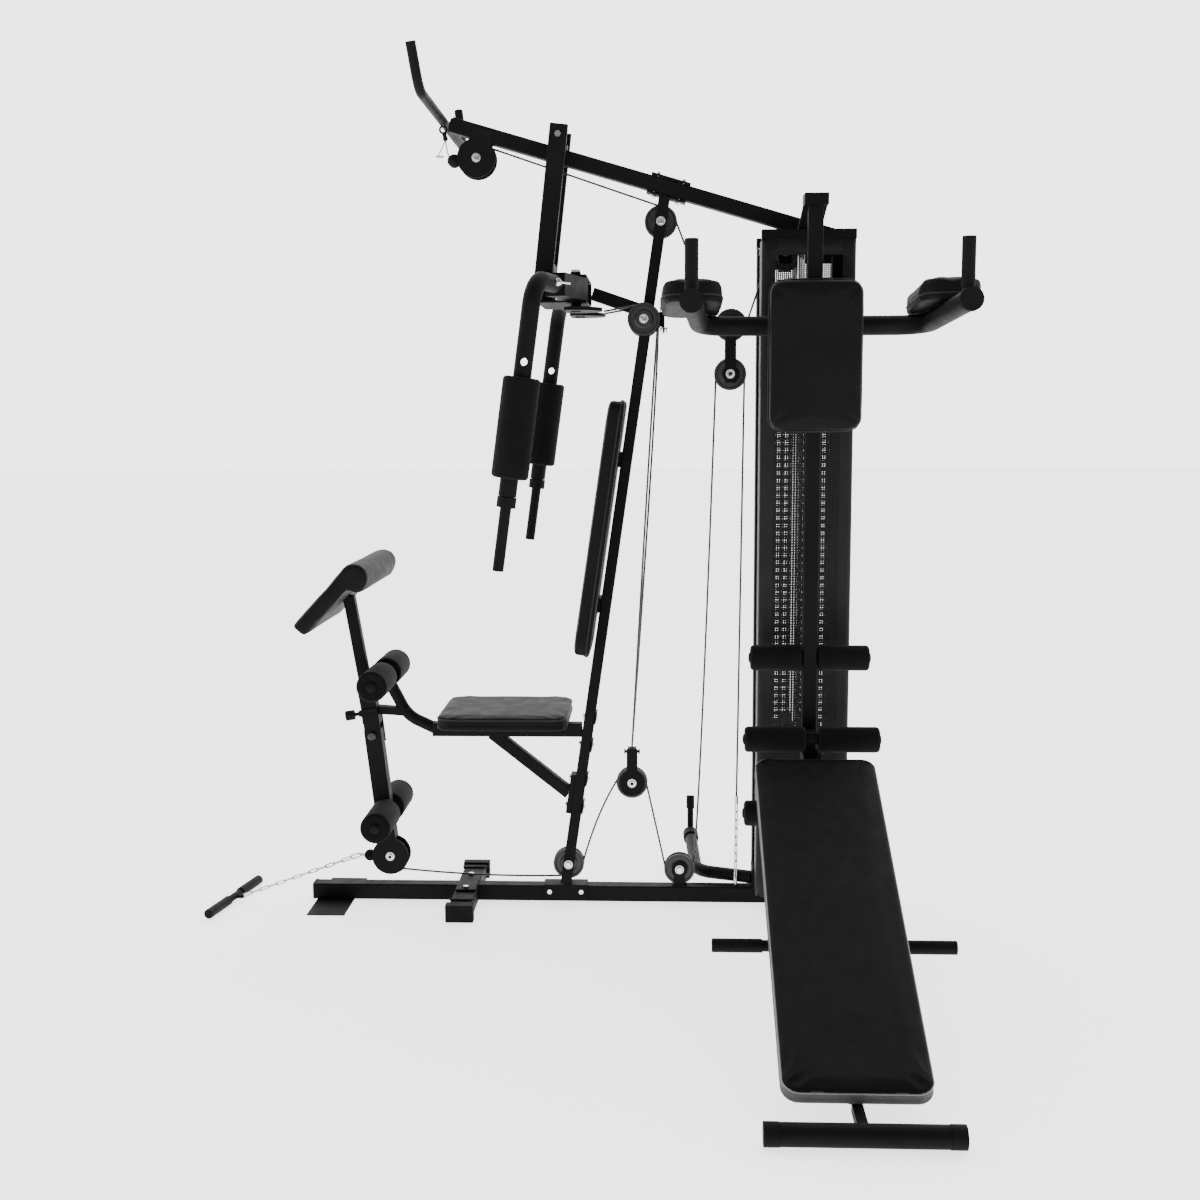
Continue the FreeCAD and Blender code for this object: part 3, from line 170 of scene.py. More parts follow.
GREY_LEATHER = surface("grey_leatherette", (0.040, 0.040, 0.041), (0.054, 0.054, 0.055), 0.6, 0.05,
                       specular=0.2, grain="cells", grain_scale=620, grain_depth=0.00025, grain_strength=0.5)
PIPING = surface("piping", (0.17, 0.17, 0.17), (0.22, 0.22, 0.22), 0.5, 0.05, grain_scale=800)
DARK_PIPING = surface("dark_piping", (0.012, 0.012, 0.012), (0.02, 0.02, 0.02), 0.6, 0.05, specular=0.15,
                      grain_scale=800)
FOAM = surface("foam", (0.0025, 0.0025, 0.0025), (0.0045, 0.0045, 0.0045), 0.92, 0.04, specular=0.1,
               grain_scale=700, grain_depth=0.0006, grain_strength=0.6, sheen=0.02)
RUBBER = surface("rubber", (0.0035, 0.0035, 0.0035), (0.006, 0.006, 0.006), 0.75, 0.06, specular=0.1,
                 grain_scale=500, grain_depth=0.00015)
PLASTIC = surface("wheel_plastic", (0.006, 0.006, 0.006), (0.010, 0.010, 0.010), 0.38, 0.05, specular=0.4,
                  grain_scale=600, grain_depth=0.00008)
CABLE = surface("cable_coat", (0.006, 0.006, 0.006), (0.012, 0.012, 0.012), 0.3, 0.05, specular=0.45,
                grain_scale=600, grain_depth=0.00005)
FLOOR = surface("floor_paint", (0.90, 0.90, 0.90), (0.93, 0.93, 0.93), 0.85, 0.03, specular=0.05, patch=0.6,
                grain_scale=90, grain_depth=0.0001, grain_strength=0.1)

SLOT_MATERIALS = {"black_steel": POWDER, "weight_steel": CAST, "bright_steel": CHROME, "zinc": ZINC,
                  "upholstery": LEATHER, "foam": FOAM, "rubber": RUBBER, "wheel_plastic": PLASTIC,
                  "cable_coat": CABLE}


def paint_frame():
    """Give every CAD node its own slot's material and smooth shading on its round faces."""
    for part in frame["record"]["subparts"]:
        obj = frame["nodes"][part["node"]]
        obj.data.materials.clear()
        obj.data.materials.append(SLOT_MATERIALS[part["material_slot"]])
        soften(obj.data, 32)


def soften(mesh, degrees):
    """Smooth shading, with edges sharper than the angle kept sharp."""
    shape = bmesh.new()
    shape.from_mesh(mesh)
    sharp = {edge.index for edge in shape.edges
             if len(edge.link_faces) == 2 and edge.calc_face_angle(0) > math.radians(degrees)}
    shape.free()
    mesh.shade_smooth()
    for edge in mesh.edges:
        edge.use_edge_sharp = edge.index in sharp


# ---------------------------------------------------------------- pieces
def piece(name, mesh, materials, body, replaced=(), smooth=35):
    """A finished mesh as an object that rides on a body."""
    if isinstance(mesh, bmesh.types.BMesh):
        shape = mesh
        mesh = bpy.data.meshes.new(name)
        bmesh.ops.recalc_face_normals(shape, faces=shape.faces)
        shape.to_mesh(mesh)
        shape.free()
    obj = bpy.data.objects.new(name, mesh)
    bpy.context.scene.collection.objects.link(obj)
    for item in materials if isinstance(materials, (list, tuple)) else [materials]:
        mesh.materials.append(item)
    if smooth:
        soften(mesh, smooth)
    if body:
        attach(obj, body)
    if replaced:
        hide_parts(*replaced)
    return obj


def basis(across, along, up, middle):
    """Matrix that carries local x, y and z to three directions, from a middle point."""
    turned = Matrix((across, along, up)).transposed().to_4x4()
    return Matrix.Translation(middle) @ turned


def facing(direction, middle):
    """Matrix that carries local z to a direction."""
    return Matrix.Translation(middle) @ direction.to_track_quat("Z", "Y").to_matrix().to_4x4()


def revolve(profile, matrix, segments=40):
    """Closed solid of revolution about local z from (radius, z) points."""
    shape = bmesh.new()
    rings = []
    for radius, height in profile:
        if radius < 1e-6:
            rings.append([shape.verts.new(matrix @ Vector((0, 0, height)))])
        else:
            turns = [2 * math.pi * step / segments for step in range(segments)]
            around = [Vector((radius * math.cos(turn), radius * math.sin(turn), height)) for turn in turns]
            rings.append([shape.verts.new(matrix @ point) for point in around])
    for here, there in zip(rings, rings[1:]):
        for step in range(segments):
            after = (step + 1) % segments
            corners = [here[step % len(here)], here[after % len(here)],
                       there[after % len(there)], there[step % len(there)]]
            corners = list(dict.fromkeys(corners))
            if len(corners) > 2:
                shape.faces.new(corners)
    for end in (rings[0], rings[-1]):
        if len(end) > 2:
            shape.faces.new(end)
    return shape


def sleeve_profile(radius, half, round_over, bore, steps=6):
    """Profile of a sleeve with rolled ends and a bore, for revolve()."""
    rolled = []
    for step in range(steps + 1):
        angle = math.pi / 2 * step / steps
        reach = radius - round_over + round_over * math.sin(angle)
        rolled.append((reach, half - round_over * (1 - math.cos(angle))))
    mouth = half - round_over * 0.35
    low = [(reach, -height) for reach, height in rolled]
    return [(bore, -mouth)] + low + rolled[::-1] + [(bore, mouth)]


def tube_shape(points, radius, sides=12, closed=False):
    """Round tube along points, by parallel transport."""
    shape = bmesh.new()
    count = len(points)
    previous = None
    rings = []
    for index, point in enumerate(points):
        if closed:
            along = points[(index + 1) % count] - points[index - 1]
        else:
            along = points[min(index + 1, count - 1)] - points[max(index - 1, 0)]
        along.normalize()
        if previous is None:
            side = along.orthogonal().normalized()
        else:
            side = (previous - along * previous.dot(along)).normalized()
        previous = side
        other = along.cross(side)
        ring = []
        for step in range(sides):
            angle = 2 * math.pi * step / sides
            out = side * math.cos(angle) + other * math.sin(angle)
            ring.append(shape.verts.new(point + out * radius))
        rings.append(ring)
    pairs = list(zip(rings, rings[1:]))
    if closed:
        pairs.append((rings[-1], rings[0]))
    for here, there in pairs:
        shift = 0
        if closed and there is rings[0]:
            shift = min(range(sides), key=lambda turn: (here[0].co - there[turn].co).length)
        for step in range(sides):
            after = (step + 1) % sides
            far = (there[(after + shift) % sides], there[(step + shift) % sides])
            shape.faces.new((here[step], here[after], *far))
    if not closed:
        shape.faces.new(rings[0])
        shape.faces.new(rings[-1])
    return shape


def evenly(corners, spacing, closed=False):
    """Points at even spacing along a line through the corners."""
    corners = [Vector(corner) for corner in corners]
    if closed:
        corners.append(corners[0])
    found = [corners[0]]
    for here, there in zip(corners, corners[1:]):
        count = max(1, round((there - here).length / spacing))
        found += [here.lerp(there, step / count) for step in range(1, count + 1)]
    return found[:-1] if closed else found


def rounded_outline(half_width, half_length, corner, steps=7):
    """Anticlockwise rounded rectangle as (x, y) pairs."""
    found = []
    for quarter, (sx, sy) in enumerate(((1, 1), (-1, 1), (-1, -1), (1, -1))):
        middle = (sx * (half_width - corner), sy * (half_length - corner))
        for step in range(steps):
            angle = math.pi / 2 * (quarter + step / (steps - 1))
            found.append((middle[0] + corner * math.cos(angle), middle[1] + corner * math.sin(angle)))
    return found


def inset(outline, amount):
    """The outline moved inwards by an amount, corner by corner."""
    found = []
    count = len(outline)
    for index, (x, y) in enumerate(outline):
        before, after = outline[index - 1], outline[(index + 1) % count]
        tangent = Vector((after[0] - before[0], after[1] - before[1])).normalized()
        found.append((x - tangent.y * amount, y + tangent.x * amount))
    return found


# ---------------------------------------------------------------- cushions
def stacked(layers):
    """Closed solid from outlines stacked along local z, as (outline, z) pairs."""
    shape = bmesh.new()
    rings = [[shape.verts.new((x, y, height)) for x, y in outline] for outline, height in layers]
    for here, there in zip(rings, rings[1:]):
        for step in range(len(here)):
            after = (step + 1) % len(here)
            shape.faces.new((here[step], here[after], there[after], there[step]))
    shape.faces.new(list(reversed(rings[0])))
    shape.faces.new(rings[-1])
    return shape


def settle(name, shape, cap, board_z):
    """Remesh a solid, blow it up a little as cloth over its flat board, and smooth it once."""
    mesh = bpy.data.meshes.new(name)
    bmesh.ops.recalc_face_normals(shape, faces=shape.faces)
    shape.to_mesh(mesh)
    shape.free()
    obj = bpy.data.objects.new(name, mesh)
    bpy.context.scene.collection.objects.link(obj)
    remesh = obj.modifiers.new("Remesh", "REMESH")
    remesh.mode = "VOXEL"
    remesh.voxel_size = CLOTH_VOXEL
    keep_result(obj)
    start = [vert.co.copy() for vert in obj.data.vertices]
    pinned = [vert.index for vert in obj.data.vertices if vert.co.z < board_z]
    obj.vertex_groups.new(name="board").add(pinned, 1.0, "REPLACE")
    cloth = obj.modifiers.new("Cloth", "CLOTH")
    cloth.settings.quality = 4
    cloth.settings.vertex_group_mass = "board"
    cloth.settings.use_pressure = True
    cloth.settings.uniform_pressure_force = CLOTH_PRESSURE
    cloth.settings.effector_weights.gravity = 0
    for step in range(1, CLOTH_FRAMES + 1):
        bpy.context.scene.frame_set(step)
    keep_result(obj)
    obj.vertex_groups.clear()
    for vert, place in zip(obj.data.vertices, start):
        moved = vert.co - place
        if moved.length > cap:
            vert.co = place + moved * (cap / moved.length)
    bpy.context.scene.frame_set(1)
    smooth = obj.modifiers.new("Smooth", "SUBSURF")
    smooth.levels = 1
    keep_result(obj)
    return obj


def keep_result(obj):
    """Apply every modifier on an object."""
    bpy.context.view_layer.update()
    result = bpy.data.meshes.new_from_object(obj.evaluated_get(bpy.context.evaluated_depsgraph_get()))
    obj.modifiers.clear()
    obj.data = result


def seam_line(obj, outline, height, lift=0.0):
    """The outline at a height, drawn onto the cushion's side."""
    tree = BVHTree.FromPolygons([vert.co for vert in obj.data.vertices],
                                [tuple(face.vertices) for face in obj.data.polygons])
    found = []
    for x, y in outline:
        point, normal, _, _ = tree.find_nearest(Vector((x, y, height)))
        found.append(point + normal * lift)
    return found


def cushion(name, node, body, sizes, corner, matrix, edge, cap, piping=DARK_PIPING, piping_radius=0.0022,
            band=None, seam=None):
    """Upholstered pad: crowned face on local +z, board on local -z, piping round its face edge."""
    width, length, thick = sizes
    gap = 0.0025
    outline = rounded_outline(width / 2 - gap, length / 2 - gap, corner)
    half = thick / 2 - 0.001
    top = half - 0.0025
    layers = [(inset(outline, 0.004), -half), (outline, -half + 0.004), (outline, top - edge)]
    layers += [(inset(outline, edge * (1 - math.cos(angle))), top - edge + edge * math.sin(angle))
               for angle in (math.radians(25), math.radians(50), math.radians(75))]
    obj = settle(name, stacked(layers), cap, -half + 0.006)
    for vert in obj.data.vertices:
        for axis, reach in enumerate((width / 2, length / 2, thick / 2)):
            vert.co[axis] = max(-reach, min(reach, vert.co[axis]))
    seam_height = top - edge if seam is None else seam
    obj.data.materials.append(LEATHER)
    if band:
        obj.data.materials.append(band)
        for face in obj.data.polygons:
            face.material_index = int(face.center.z < seam_height and abs(face.normal.z) < 0.75)
    obj.data.shade_smooth()
    border = [(x, y, 0) for x, y in rounded_outline(width / 2, length / 2, corner, 9)]
    even = evenly(border, 0.008, closed=True)
    line = seam_line(obj, [(point.x, point.y) for point in even], seam_height, 0.0004)
    obj.matrix_world = matrix
    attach(obj, body)
    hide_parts(node)
    tube = tube_shape([matrix @ point for point in line], piping_radius, 8, closed=True)
    piece(name + "_piping", tube, piping, body)


def lean_axes():
    """The main upright's own direction, and the direction its cushion faces."""
    up = Vector((math.sin(UPRIGHT_LEAN), 0, math.cos(UPRIGHT_LEAN)))
    face = Vector((-math.cos(UPRIGHT_LEAN), 0, math.sin(UPRIGHT_LEAN)))
    return up, face


def make_cushions():
    cushion("seat_cushion", "seat_pad", "frame", (0.365, 0.336, 0.042), 0.045,
            basis(X, Y, Z, centre("seat_pad")), edge=0.006, cap=0.003)
    up, face = lean_axes()
    cushion("back_cushion", "back_pad", "frame", (0.290, 0.704, 0.048), 0.035,
            basis(-Y, up, face, centre("back_pad")), edge=0.008, cap=0.003, seam=-0.012)
    along = Vector((0, -math.cos(BENCH_SLOPE), -math.sin(BENCH_SLOPE)))
    rise = Vector((0, -math.sin(BENCH_SLOPE), math.cos(BENCH_SLOPE)))
    cushion("bench_cushion", "bench_pad", "bench", (0.310, 1.047, 0.042), 0.038,
            basis(-X, along, rise, centre("bench_pad")), edge=0.006, cap=0.004, piping=PIPING,
            piping_radius=0.0017, band=GREY_LEATHER)
    cushion("knee_raise_cushion", "knee_raise_pad", "frame", (0.240, 0.380, 0.050), 0.034,
            basis(X, Z, -Y, centre("knee_raise_pad")), edge=0.012, cap=0.003, seam=-0.010)
    for name, (low, high) in zip(("left", "right"), islands("elbow_pads")):
        along = Vector((0, math.cos(ELBOW_TILT), -math.sin(ELBOW_TILT)))
        rise = Vector((0, math.sin(ELBOW_TILT), math.cos(ELBOW_TILT)))
        cushion("elbow_cushion_" + name, "elbow_pads", "frame", ELBOW_SIZE, 0.045,
                basis(X, along, rise, (low + high) / 2), edge=0.014, cap=0.003, seam=-0.012)
    make_preacher_cushion()


def make_preacher_cushion():
    """Sloping arm pad whose upper end rolls over into a round nose."""
    slope = Vector((math.cos(PREACHER_SLOPE), 0, math.sin(PREACHER_SLOPE)))
    face = Vector((-math.sin(PREACHER_SLOPE), 0, math.cos(PREACHER_SLOPE)))
    low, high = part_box("preacher_pad")
    nose_radius, half_width = 0.039, (high.y - low.y) / 2
    nose = Vector((high.x - nose_radius, 0, high.z - nose_radius))
    length, thick = 0.2146, 0.040
    shrink = 0.001
    outline = [(-length + shrink, nose_radius - shrink), (-length + shrink, nose_radius - thick + shrink)]
    outline += [(-0.038, nose_radius - thick + shrink)]
    for step in range(0, 15):
        angle = math.radians(-140 + 230 * step / 14)
        outline.append(((nose_radius - shrink) * math.cos(angle), (nose_radius - shrink) * math.sin(angle)))
    shape = bmesh.new()
    sides = []
    for across in (-half_width + shrink, half_width - shrink):
        sides.append([shape.verts.new((x, across, z)) for x, z in outline])
    for step in range(len(outline)):
        after = (step + 1) % len(outline)
        shape.faces.new((sides[0][step], sides[0][after], sides[1][after], sides[1][step]))
    shape.faces.new(sides[0])
    shape.faces.new(list(reversed(sides[1])))
    rim = [edge for edge in shape.edges if abs(edge.verts[0].co.y - edge.verts[1].co.y) < 1e-6]
    bmesh.ops.bevel(shape, geom=rim, offset=0.006, segments=2, profile=0.5, affect="EDGES")
    obj = settle("preacher_cushion", shape, 0.004, -1.0)
    obj.data.materials.append(LEATHER)
    obj.data.shade_smooth()
    matrix = basis(slope, Y, face, nose)
    cover = BVHTree.FromPolygons([vert.co for vert in obj.data.vertices],
                                 [tuple(polygon.vertices) for polygon in obj.data.polygons])
    for side in (-1, 1):
        run = [(-length + 0.006, nose_radius - thick + 0.006), (-length + 0.003, nose_radius - 0.004)]
        run += [(-length * (1 - step / 6), nose_radius - 0.0005) for step in range(1, 6)]
        for step in range(10):
            angle = math.radians(90 - 150 * step / 9)
            run.append((nose_radius * math.cos(angle), nose_radius * math.sin(angle)))
        edge = evenly([Vector((x, side * (half_width - 0.003), z)) for x, z in run], 0.008)
        points = [matrix @ cover.find_nearest(point)[0] for point in edge]
        piece("preacher_piping_%d" % (side > 0), tube_shape(points, 0.0016, 8), DARK_PIPING, "preacher")
    obj.matrix_world = matrix
    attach(obj, "preacher")
    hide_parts("preacher_pad")


# ---------------------------------------------------------------- foam rollers and grips
def foam_roller(name, middle, along, radius, length, bore, body, node):
    """Foam sleeve with soft rolled ends."""
    sleeve = revolve(sleeve_profile(radius, length / 2, 0.009, bore), facing(along, middle), 56)
    obj = piece(name, sleeve, FOAM, body, (node,), smooth=50)


def bar_plug(name, middle, along, radius, body, material=RUBBER):
    """Domed plug or bolt head standing on a face."""
    profile = [(0, -0.002), (radius, -0.002), (radius, 0.001), (radius * 0.8, 0.0032)]
    profile += [(radius * 0.4, 0.0044), (0, 0.0048)]
    piece(name, revolve(profile, facing(along, middle), 28), material, body)


def make_foam():
    for node, body in (("foam_rollers", "frame"), ("leg_foam_rollers", "leg_arm")):
        for index, (low, high) in enumerate(islands(node)):
            size = high - low
            along = X if size.x > size.y else Y
            name = "%s_%d" % (node, index + 1)
            foam_roller(name, (low + high) / 2, along, size.z / 2, size.dot(along), ROLLER_BORE, body, node)
    for side in ("left", "right"):
        node = "arm_foam_" + side
        foam_roller("arm_foam_sleeve_" + side, centre(node), ARM_FOAM_DIRECTION, ARM_FOAM_RADIUS,
                    ARM_FOAM_LENGTH, ARM_FOAM_BORE, "arm_" + side, node)


# ---------------------------------------------------------------- cables
def wheel(node, side):
    """A pulley that a cable goes round: side +1 clockwise seen from the front, -1 anticlockwise."""
    return (centre(node), side)


def belt(stops):
    """Tangent points of a cable in the XZ plane, as [(arrival, departure, wheel centre, side)]."""
    middles = [stop[0] if isinstance(stop, tuple) else stop for stop in stops]
    bends = [stop[1] * GROOVE_RADIUS if isinstance(stop, tuple) else 0.0 for stop in stops]
    arrive = list(middles)
    depart = list(middles)
    for index in range(len(stops) - 1):
        gap = middles[index + 1] - middles[index]
        reach = math.hypot(gap.x, gap.z)
        slope = math.atan2(gap.z, gap.x) + math.asin((bends[index + 1] - bends[index]) / reach)
        left = Vector((-math.sin(slope), 0, math.cos(slope)))
        depart[index] = middles[index] + left * bends[index]
        arrive[index + 1] = middles[index + 1] + left * bends[index + 1]
    return arrive, depart, middles, bends


def wheel_arc(arrive, depart, middle, bend, steps=14):
    """Points of the cable's arc on one pulley."""
    first = math.atan2(arrive.z - middle.z, arrive.x - middle.x)
    last = math.atan2(depart.z - middle.z, depart.x - middle.x)
    sweep = -((first - last) % (2 * math.pi)) if bend > 0 else (last - first) % (2 * math.pi)
    found = []
    for step in range(steps + 1):
        angle = first + sweep * step / steps
        found.append(Vector((middle.x + abs(bend) * math.cos(angle), middle.y,
                             middle.z + abs(bend) * math.sin(angle))))
    return found


def slack(start, control, end, steps=28):
    """Sagging run of cable as one smooth bend towards a control point."""
    found = []
    for step in range(steps + 1):
        t = step / steps
        found.append(start * (1 - t) ** 2 + control * (2 * t * (1 - t)) + end * t * t)
    return found


def straight(start, end, steps=10):
    return [start.lerp(end, step / steps) for step in range(steps + 1)]


def mirrored(point, side):
    """A far-side point, or its twin on the near side where side is -1."""
    return Vector((point.x, side * point.y, point.z))


def cable_run(name, points, bodies, node):
    """One stretch of cable: on one body, or, where it runs between two bodies, left loose on neither."""
    one = isinstance(bodies, str)
    tube = tube_shape(points, CABLE_RADIUS, 10)
    obj = piece(name, tube, CABLE, bodies if one else None, (node,), smooth=60)
    if not one:
        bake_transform(obj)


def bent_arcs(arrive, depart, middles, bends):
    """The cable's arc on each wheel of a belt, and None at its plain points."""
    return [wheel_arc(*stop) if stop[3] else None for stop in zip(arrive, depart, middles, bends)]


def make_cables():
    stem_low, stem_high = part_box("weight_stack_lifted")
    stem = Vector(((stem_low.x + stem_high.x) / 2, 0, stem_high.z - 0.001))
    ball = Vector((-0.2758, 0, 2.0612))
    arrive, depart, middles, bends = belt([ball, wheel("lat_pulley", 1), wheel("top_pulley", 1),
                                           wheel("block_pulley_upper", -1), wheel("tower_pulley", 1), stem])
    arcs = bent_arcs(arrive, depart, middles, bends)
    outlet = middles[1] - X * GROOVE_RADIUS
    over_wheel = wheel_arc(outlet, depart[1], middles[1], bends[1])
    cable_run("lat_cable_handle", straight(ball, outlet), ("lat_handle", "frame"), "lat_cable")
    along_beam = straight(depart[1], arrive[2], 4)[1:-1]
    cable_run("lat_cable_beam", over_wheel + along_beam + arcs[2], "frame", "lat_cable")
    cable_run("lat_cable_down", straight(depart[2], arrive[3]), ("frame", "block"), "lat_cable")
    cable_run("lat_cable_block", arcs[3], "block", "lat_cable")
    cable_run("lat_cable_up", straight(depart[3], arrive[4]), ("block", "frame"), "lat_cable")
    cable_run("lat_cable_tower", arcs[4], "frame", "lat_cable")
    cable_run("lat_cable_stack", straight(depart[4], stem, 24), ("frame", "weights"), "lat_cable")

    hook = Vector((-0.5454, 0, 0.122))
    anchor = Vector((0.483, 0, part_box("anchor_chain")[1].z - 0.001))
    sag, bulge, swell = Vector((-0.235, 0, 0.060)), Vector((0.090, 0, 0.262)), Vector((0.380, 0, 0.240))
    stops = [hook, wheel("leg_pulley", -1), sag, wheel("base_pulley", -1), bulge, wheel("chest_pulley", 1),
             wheel("side_pulley", -1), swell, wheel("block_pulley_lower", 1), anchor]
    arrive, depart, middles, bends = belt(stops)
    arcs = bent_arcs(arrive, depart, middles, bends)
    cable_run("low_cable_hook", straight(hook, arrive[1], 4)[:-1] + arcs[1], "leg_arm", "low_cable")
    cable_run("low_cable_sag", slack(depart[1], sag, arrive[3]), ("leg_arm", "frame"), "low_cable")
    cable_run("low_cable_base", arcs[3], "frame", "low_cable")
    cable_run("low_cable_rise", slack(depart[3], bulge, arrive[5]), ("frame", "chest_block"), "low_cable")
    cable_run("low_cable_chest", arcs[5], "chest_block", "low_cable")
    cable_run("low_cable_fall", straight(depart[5], arrive[6]), ("chest_block", "frame"), "low_cable")
    cable_run("low_cable_side", arcs[6], "frame", "low_cable")
    cable_run("low_cable_swell", slack(depart[6], swell, arrive[8], 40), ("frame", "block"), "low_cable")
    cable_run("low_cable_block", arcs[8], "block", "low_cable")
    cable_run("low_cable_anchor", straight(depart[8], anchor, 30), ("block", "frame"), "low_cable")

    block_top = centre("chest_pulley") + Z * 0.0992
    mid_wheels = sorted(islands("mid_pulleys"), key=lambda pair: pair[0].y)
    for name, (low, high), side in zip(("left", "right"), mid_wheels, (-1, 1)):
        middle = (low + high) / 2
        cam = Vector((0.116, middle.y, 1.647))
        knee = Vector((0.257 + side * 0.007, middle.y, 1.500))
        foot = Vector((block_top.x, side * 0.008, block_top.z))
        arrive, depart, middles, bends = belt([cam, (middle, 1), knee, foot])
        arc = wheel_arc(arrive[1], depart[1], middle, bends[1])
        cable_run("chest_cable_cam_" + name, straight(cam, arrive[1]), ("press", "frame"), "chest_cables")
        cable_run("chest_cable_wheel_" + name, arc, "frame", "chest_cables")
        cable_run("chest_cable_drop_" + name, slack(depart[1], knee, foot), ("frame", "chest_block"),
                  "chest_cables")


# ---------------------------------------------------------------- hardware
def wheel_nut(name, middle, reach, body):
    """Washer and domed hex nut over each end of a wheel's bolt."""
    radius = 0.0092
    washer = [(0.0052, 0), (0.0122, 0), (0.0126, 0.0004), (0.0122, 0.0011), (0.0052, 0.0011), (0.0052, 0)]
    nut = [(0, 0.0009), (radius, 0.0009), (radius, 0.0052), (radius * 0.84, 0.0064), (0.0056, 0.0064)]
    nut += [(0.0048, 0.0044), (0, 0.0044)]
    for side in (-1, 1):
        place = facing(Y * side, Vector((middle.x, side * reach, middle.z)))
        piece("%s_washer_%d" % (name, side > 0), revolve(washer, place, 32), ZINC, body)
        piece("%s_nut_%d" % (name, side > 0), revolve(nut, place, 6), CHROME, body, smooth=20)


def stop_ball(name, middle, radius, along, body):
    """Rubber ball, drilled through and flattened at its two mouths, that stops a cable at its guard."""
    profile = [(0.0032, -radius * 0.93)]
    profile += [(radius * math.cos(math.radians(angle)), radius * math.sin(math.radians(angle)))
                for angle in range(-66, 67, 11)]
    profile.append((0.0032, radius * 0.93))
    piece(name, revolve(profile + profile[:1], facing(along, middle), 36), RUBBER, body)


def make_hardware():
    for node, reach, body in (("lat_pulley", 0.024, "frame"), ("top_pulley", 0.0256, "frame"),
                              ("base_pulley", 0.0256, "frame"), ("side_pulley", 0.019, "frame"),
                              ("mid_pulleys", 0.063, "frame"), ("leg_pulley", 0.023, "leg_arm"),
                              ("block_pulley_upper", 0.0176, "block"),
                              ("block_pulley_lower", 0.0176, "block"),
                              ("chest_pulley", 0.0165, "chest_block")):
        wheel_nut(node.replace("pulley", "bolt"), centre(node), reach, body)
    stop_ball("lat_stop_ball", Vector((-0.287, 0, 2.050)), 0.0185, Vector((0.7, 0, 0.7)), "lat_handle")
    stop_ball("leg_stop_ball", Vector((-0.561, 0, 0.124)), 0.0165, X, "row")
    cap = [(0, 0), (0.0117, 0), (0.0117, 0.0062), (0.0092, 0.0086), (0, 0.0094)]
    for side in (-1, 1):
        place = facing(Y * side, mirrored(PIVOT_CAP, side))
        piece("lever_pivot_cap_%d" % (side > 0), revolve(cap, place), PLASTIC, "frame")
    make_snap_hook()
    make_arm_details()
    for node, body in (("foam_rollers", "frame"), ("leg_foam_rollers", "leg_arm")):
        for index, (low, high) in enumerate(islands(node)):
            size, middle = high - low, (low + high) / 2
            along = X if size.x > size.y else Y
            spine = centre("knee_raise_post") if along == X else Vector()
            side = 1 if (middle - spine).dot(along) > 0 else -1
            end = middle + along * (side * (size.dot(along) / 2 + 0.0005))
            bar_plug("%s_plug_%d" % (node, index + 1), end, along * side, ROLLER_PLUG, body)


def make_snap_hook():
    """Swivel, bent wire and end ring that join the lat bar to its cable's ball."""
    eye, neck, tip = Vector((-0.3154, 0, 2.1324)), Vector((-0.309, 0, 2.106)), Vector((-0.326, 0, 2.062))

    def wire(name, points, radius, closed=False, material=ZINC):
        tube = tube_shape(points, radius, 8, closed=closed)
        piece(name, tube, material, "lat_handle", ("lat_hook",), smooth=60)

    turns = [2 * math.pi * step / 24 for step in range(24)]
    round_eye = [eye + Vector((math.cos(turn), 0, math.sin(turn))) * 0.009 for turn in turns]
    end_ring = [tip + Vector((math.cos(turn) * 0.0105, math.sin(turn) * 0.008, math.sin(turn) * 0.003))
                for turn in turns]
    wire("hook_eye", round_eye, 0.0030, True, POWDER)
    wire("hook_ring", end_ring, 0.0020, True)
    wire("hook_wire_ring", slack(neck, Vector((-0.316, 0, 2.090)), tip + Vector((-0.004, 0, 0.003)), 12),
         0.0018)
    wire("hook_wire_ball", slack(neck, Vector((-0.308, 0, 2.085)), Vector((-0.301, 0, 2.060)), 12), 0.0018)
    barrel = [(0, -0.011), (0.0055, -0.010), (0.0072, -0.004), (0.0054, 0.002), (0.0064, 0.009), (0, 0.011)]
    swivel = revolve(barrel, facing(eye - neck, neck.lerp(eye, 0.28)), 20)
    piece("hook_swivel", swivel, RUBBER, "lat_handle", ("lat_hook",))


def make_arm_details():
    """Locking pin on the near arm, and a nut on top of each arm's hinge."""
    bar_plug("arm_pin_head", ARM_PIN, -Y, 0.0095, "arm_left", CHROME)
    tail = tube_shape(straight(ARM_PIN, ARM_PIN + Vector((0.031, 0, -0.004)), 3), 0.0022, 10)
    piece("arm_pin_tail", tail, CHROME, "arm_left")
    nut = [(0, 0), (0.012, 0), (0.012, 0.006), (0.0102, 0.0078), (0, 0.0078)]
    for name, side in (("left", -1), ("right", 1)):
        shape = revolve(nut, facing(Z, mirrored(HINGE_NUT, side)), 6)
        piece("hinge_nut_" + name, shape, ZINC, "arm_" + name, smooth=20)


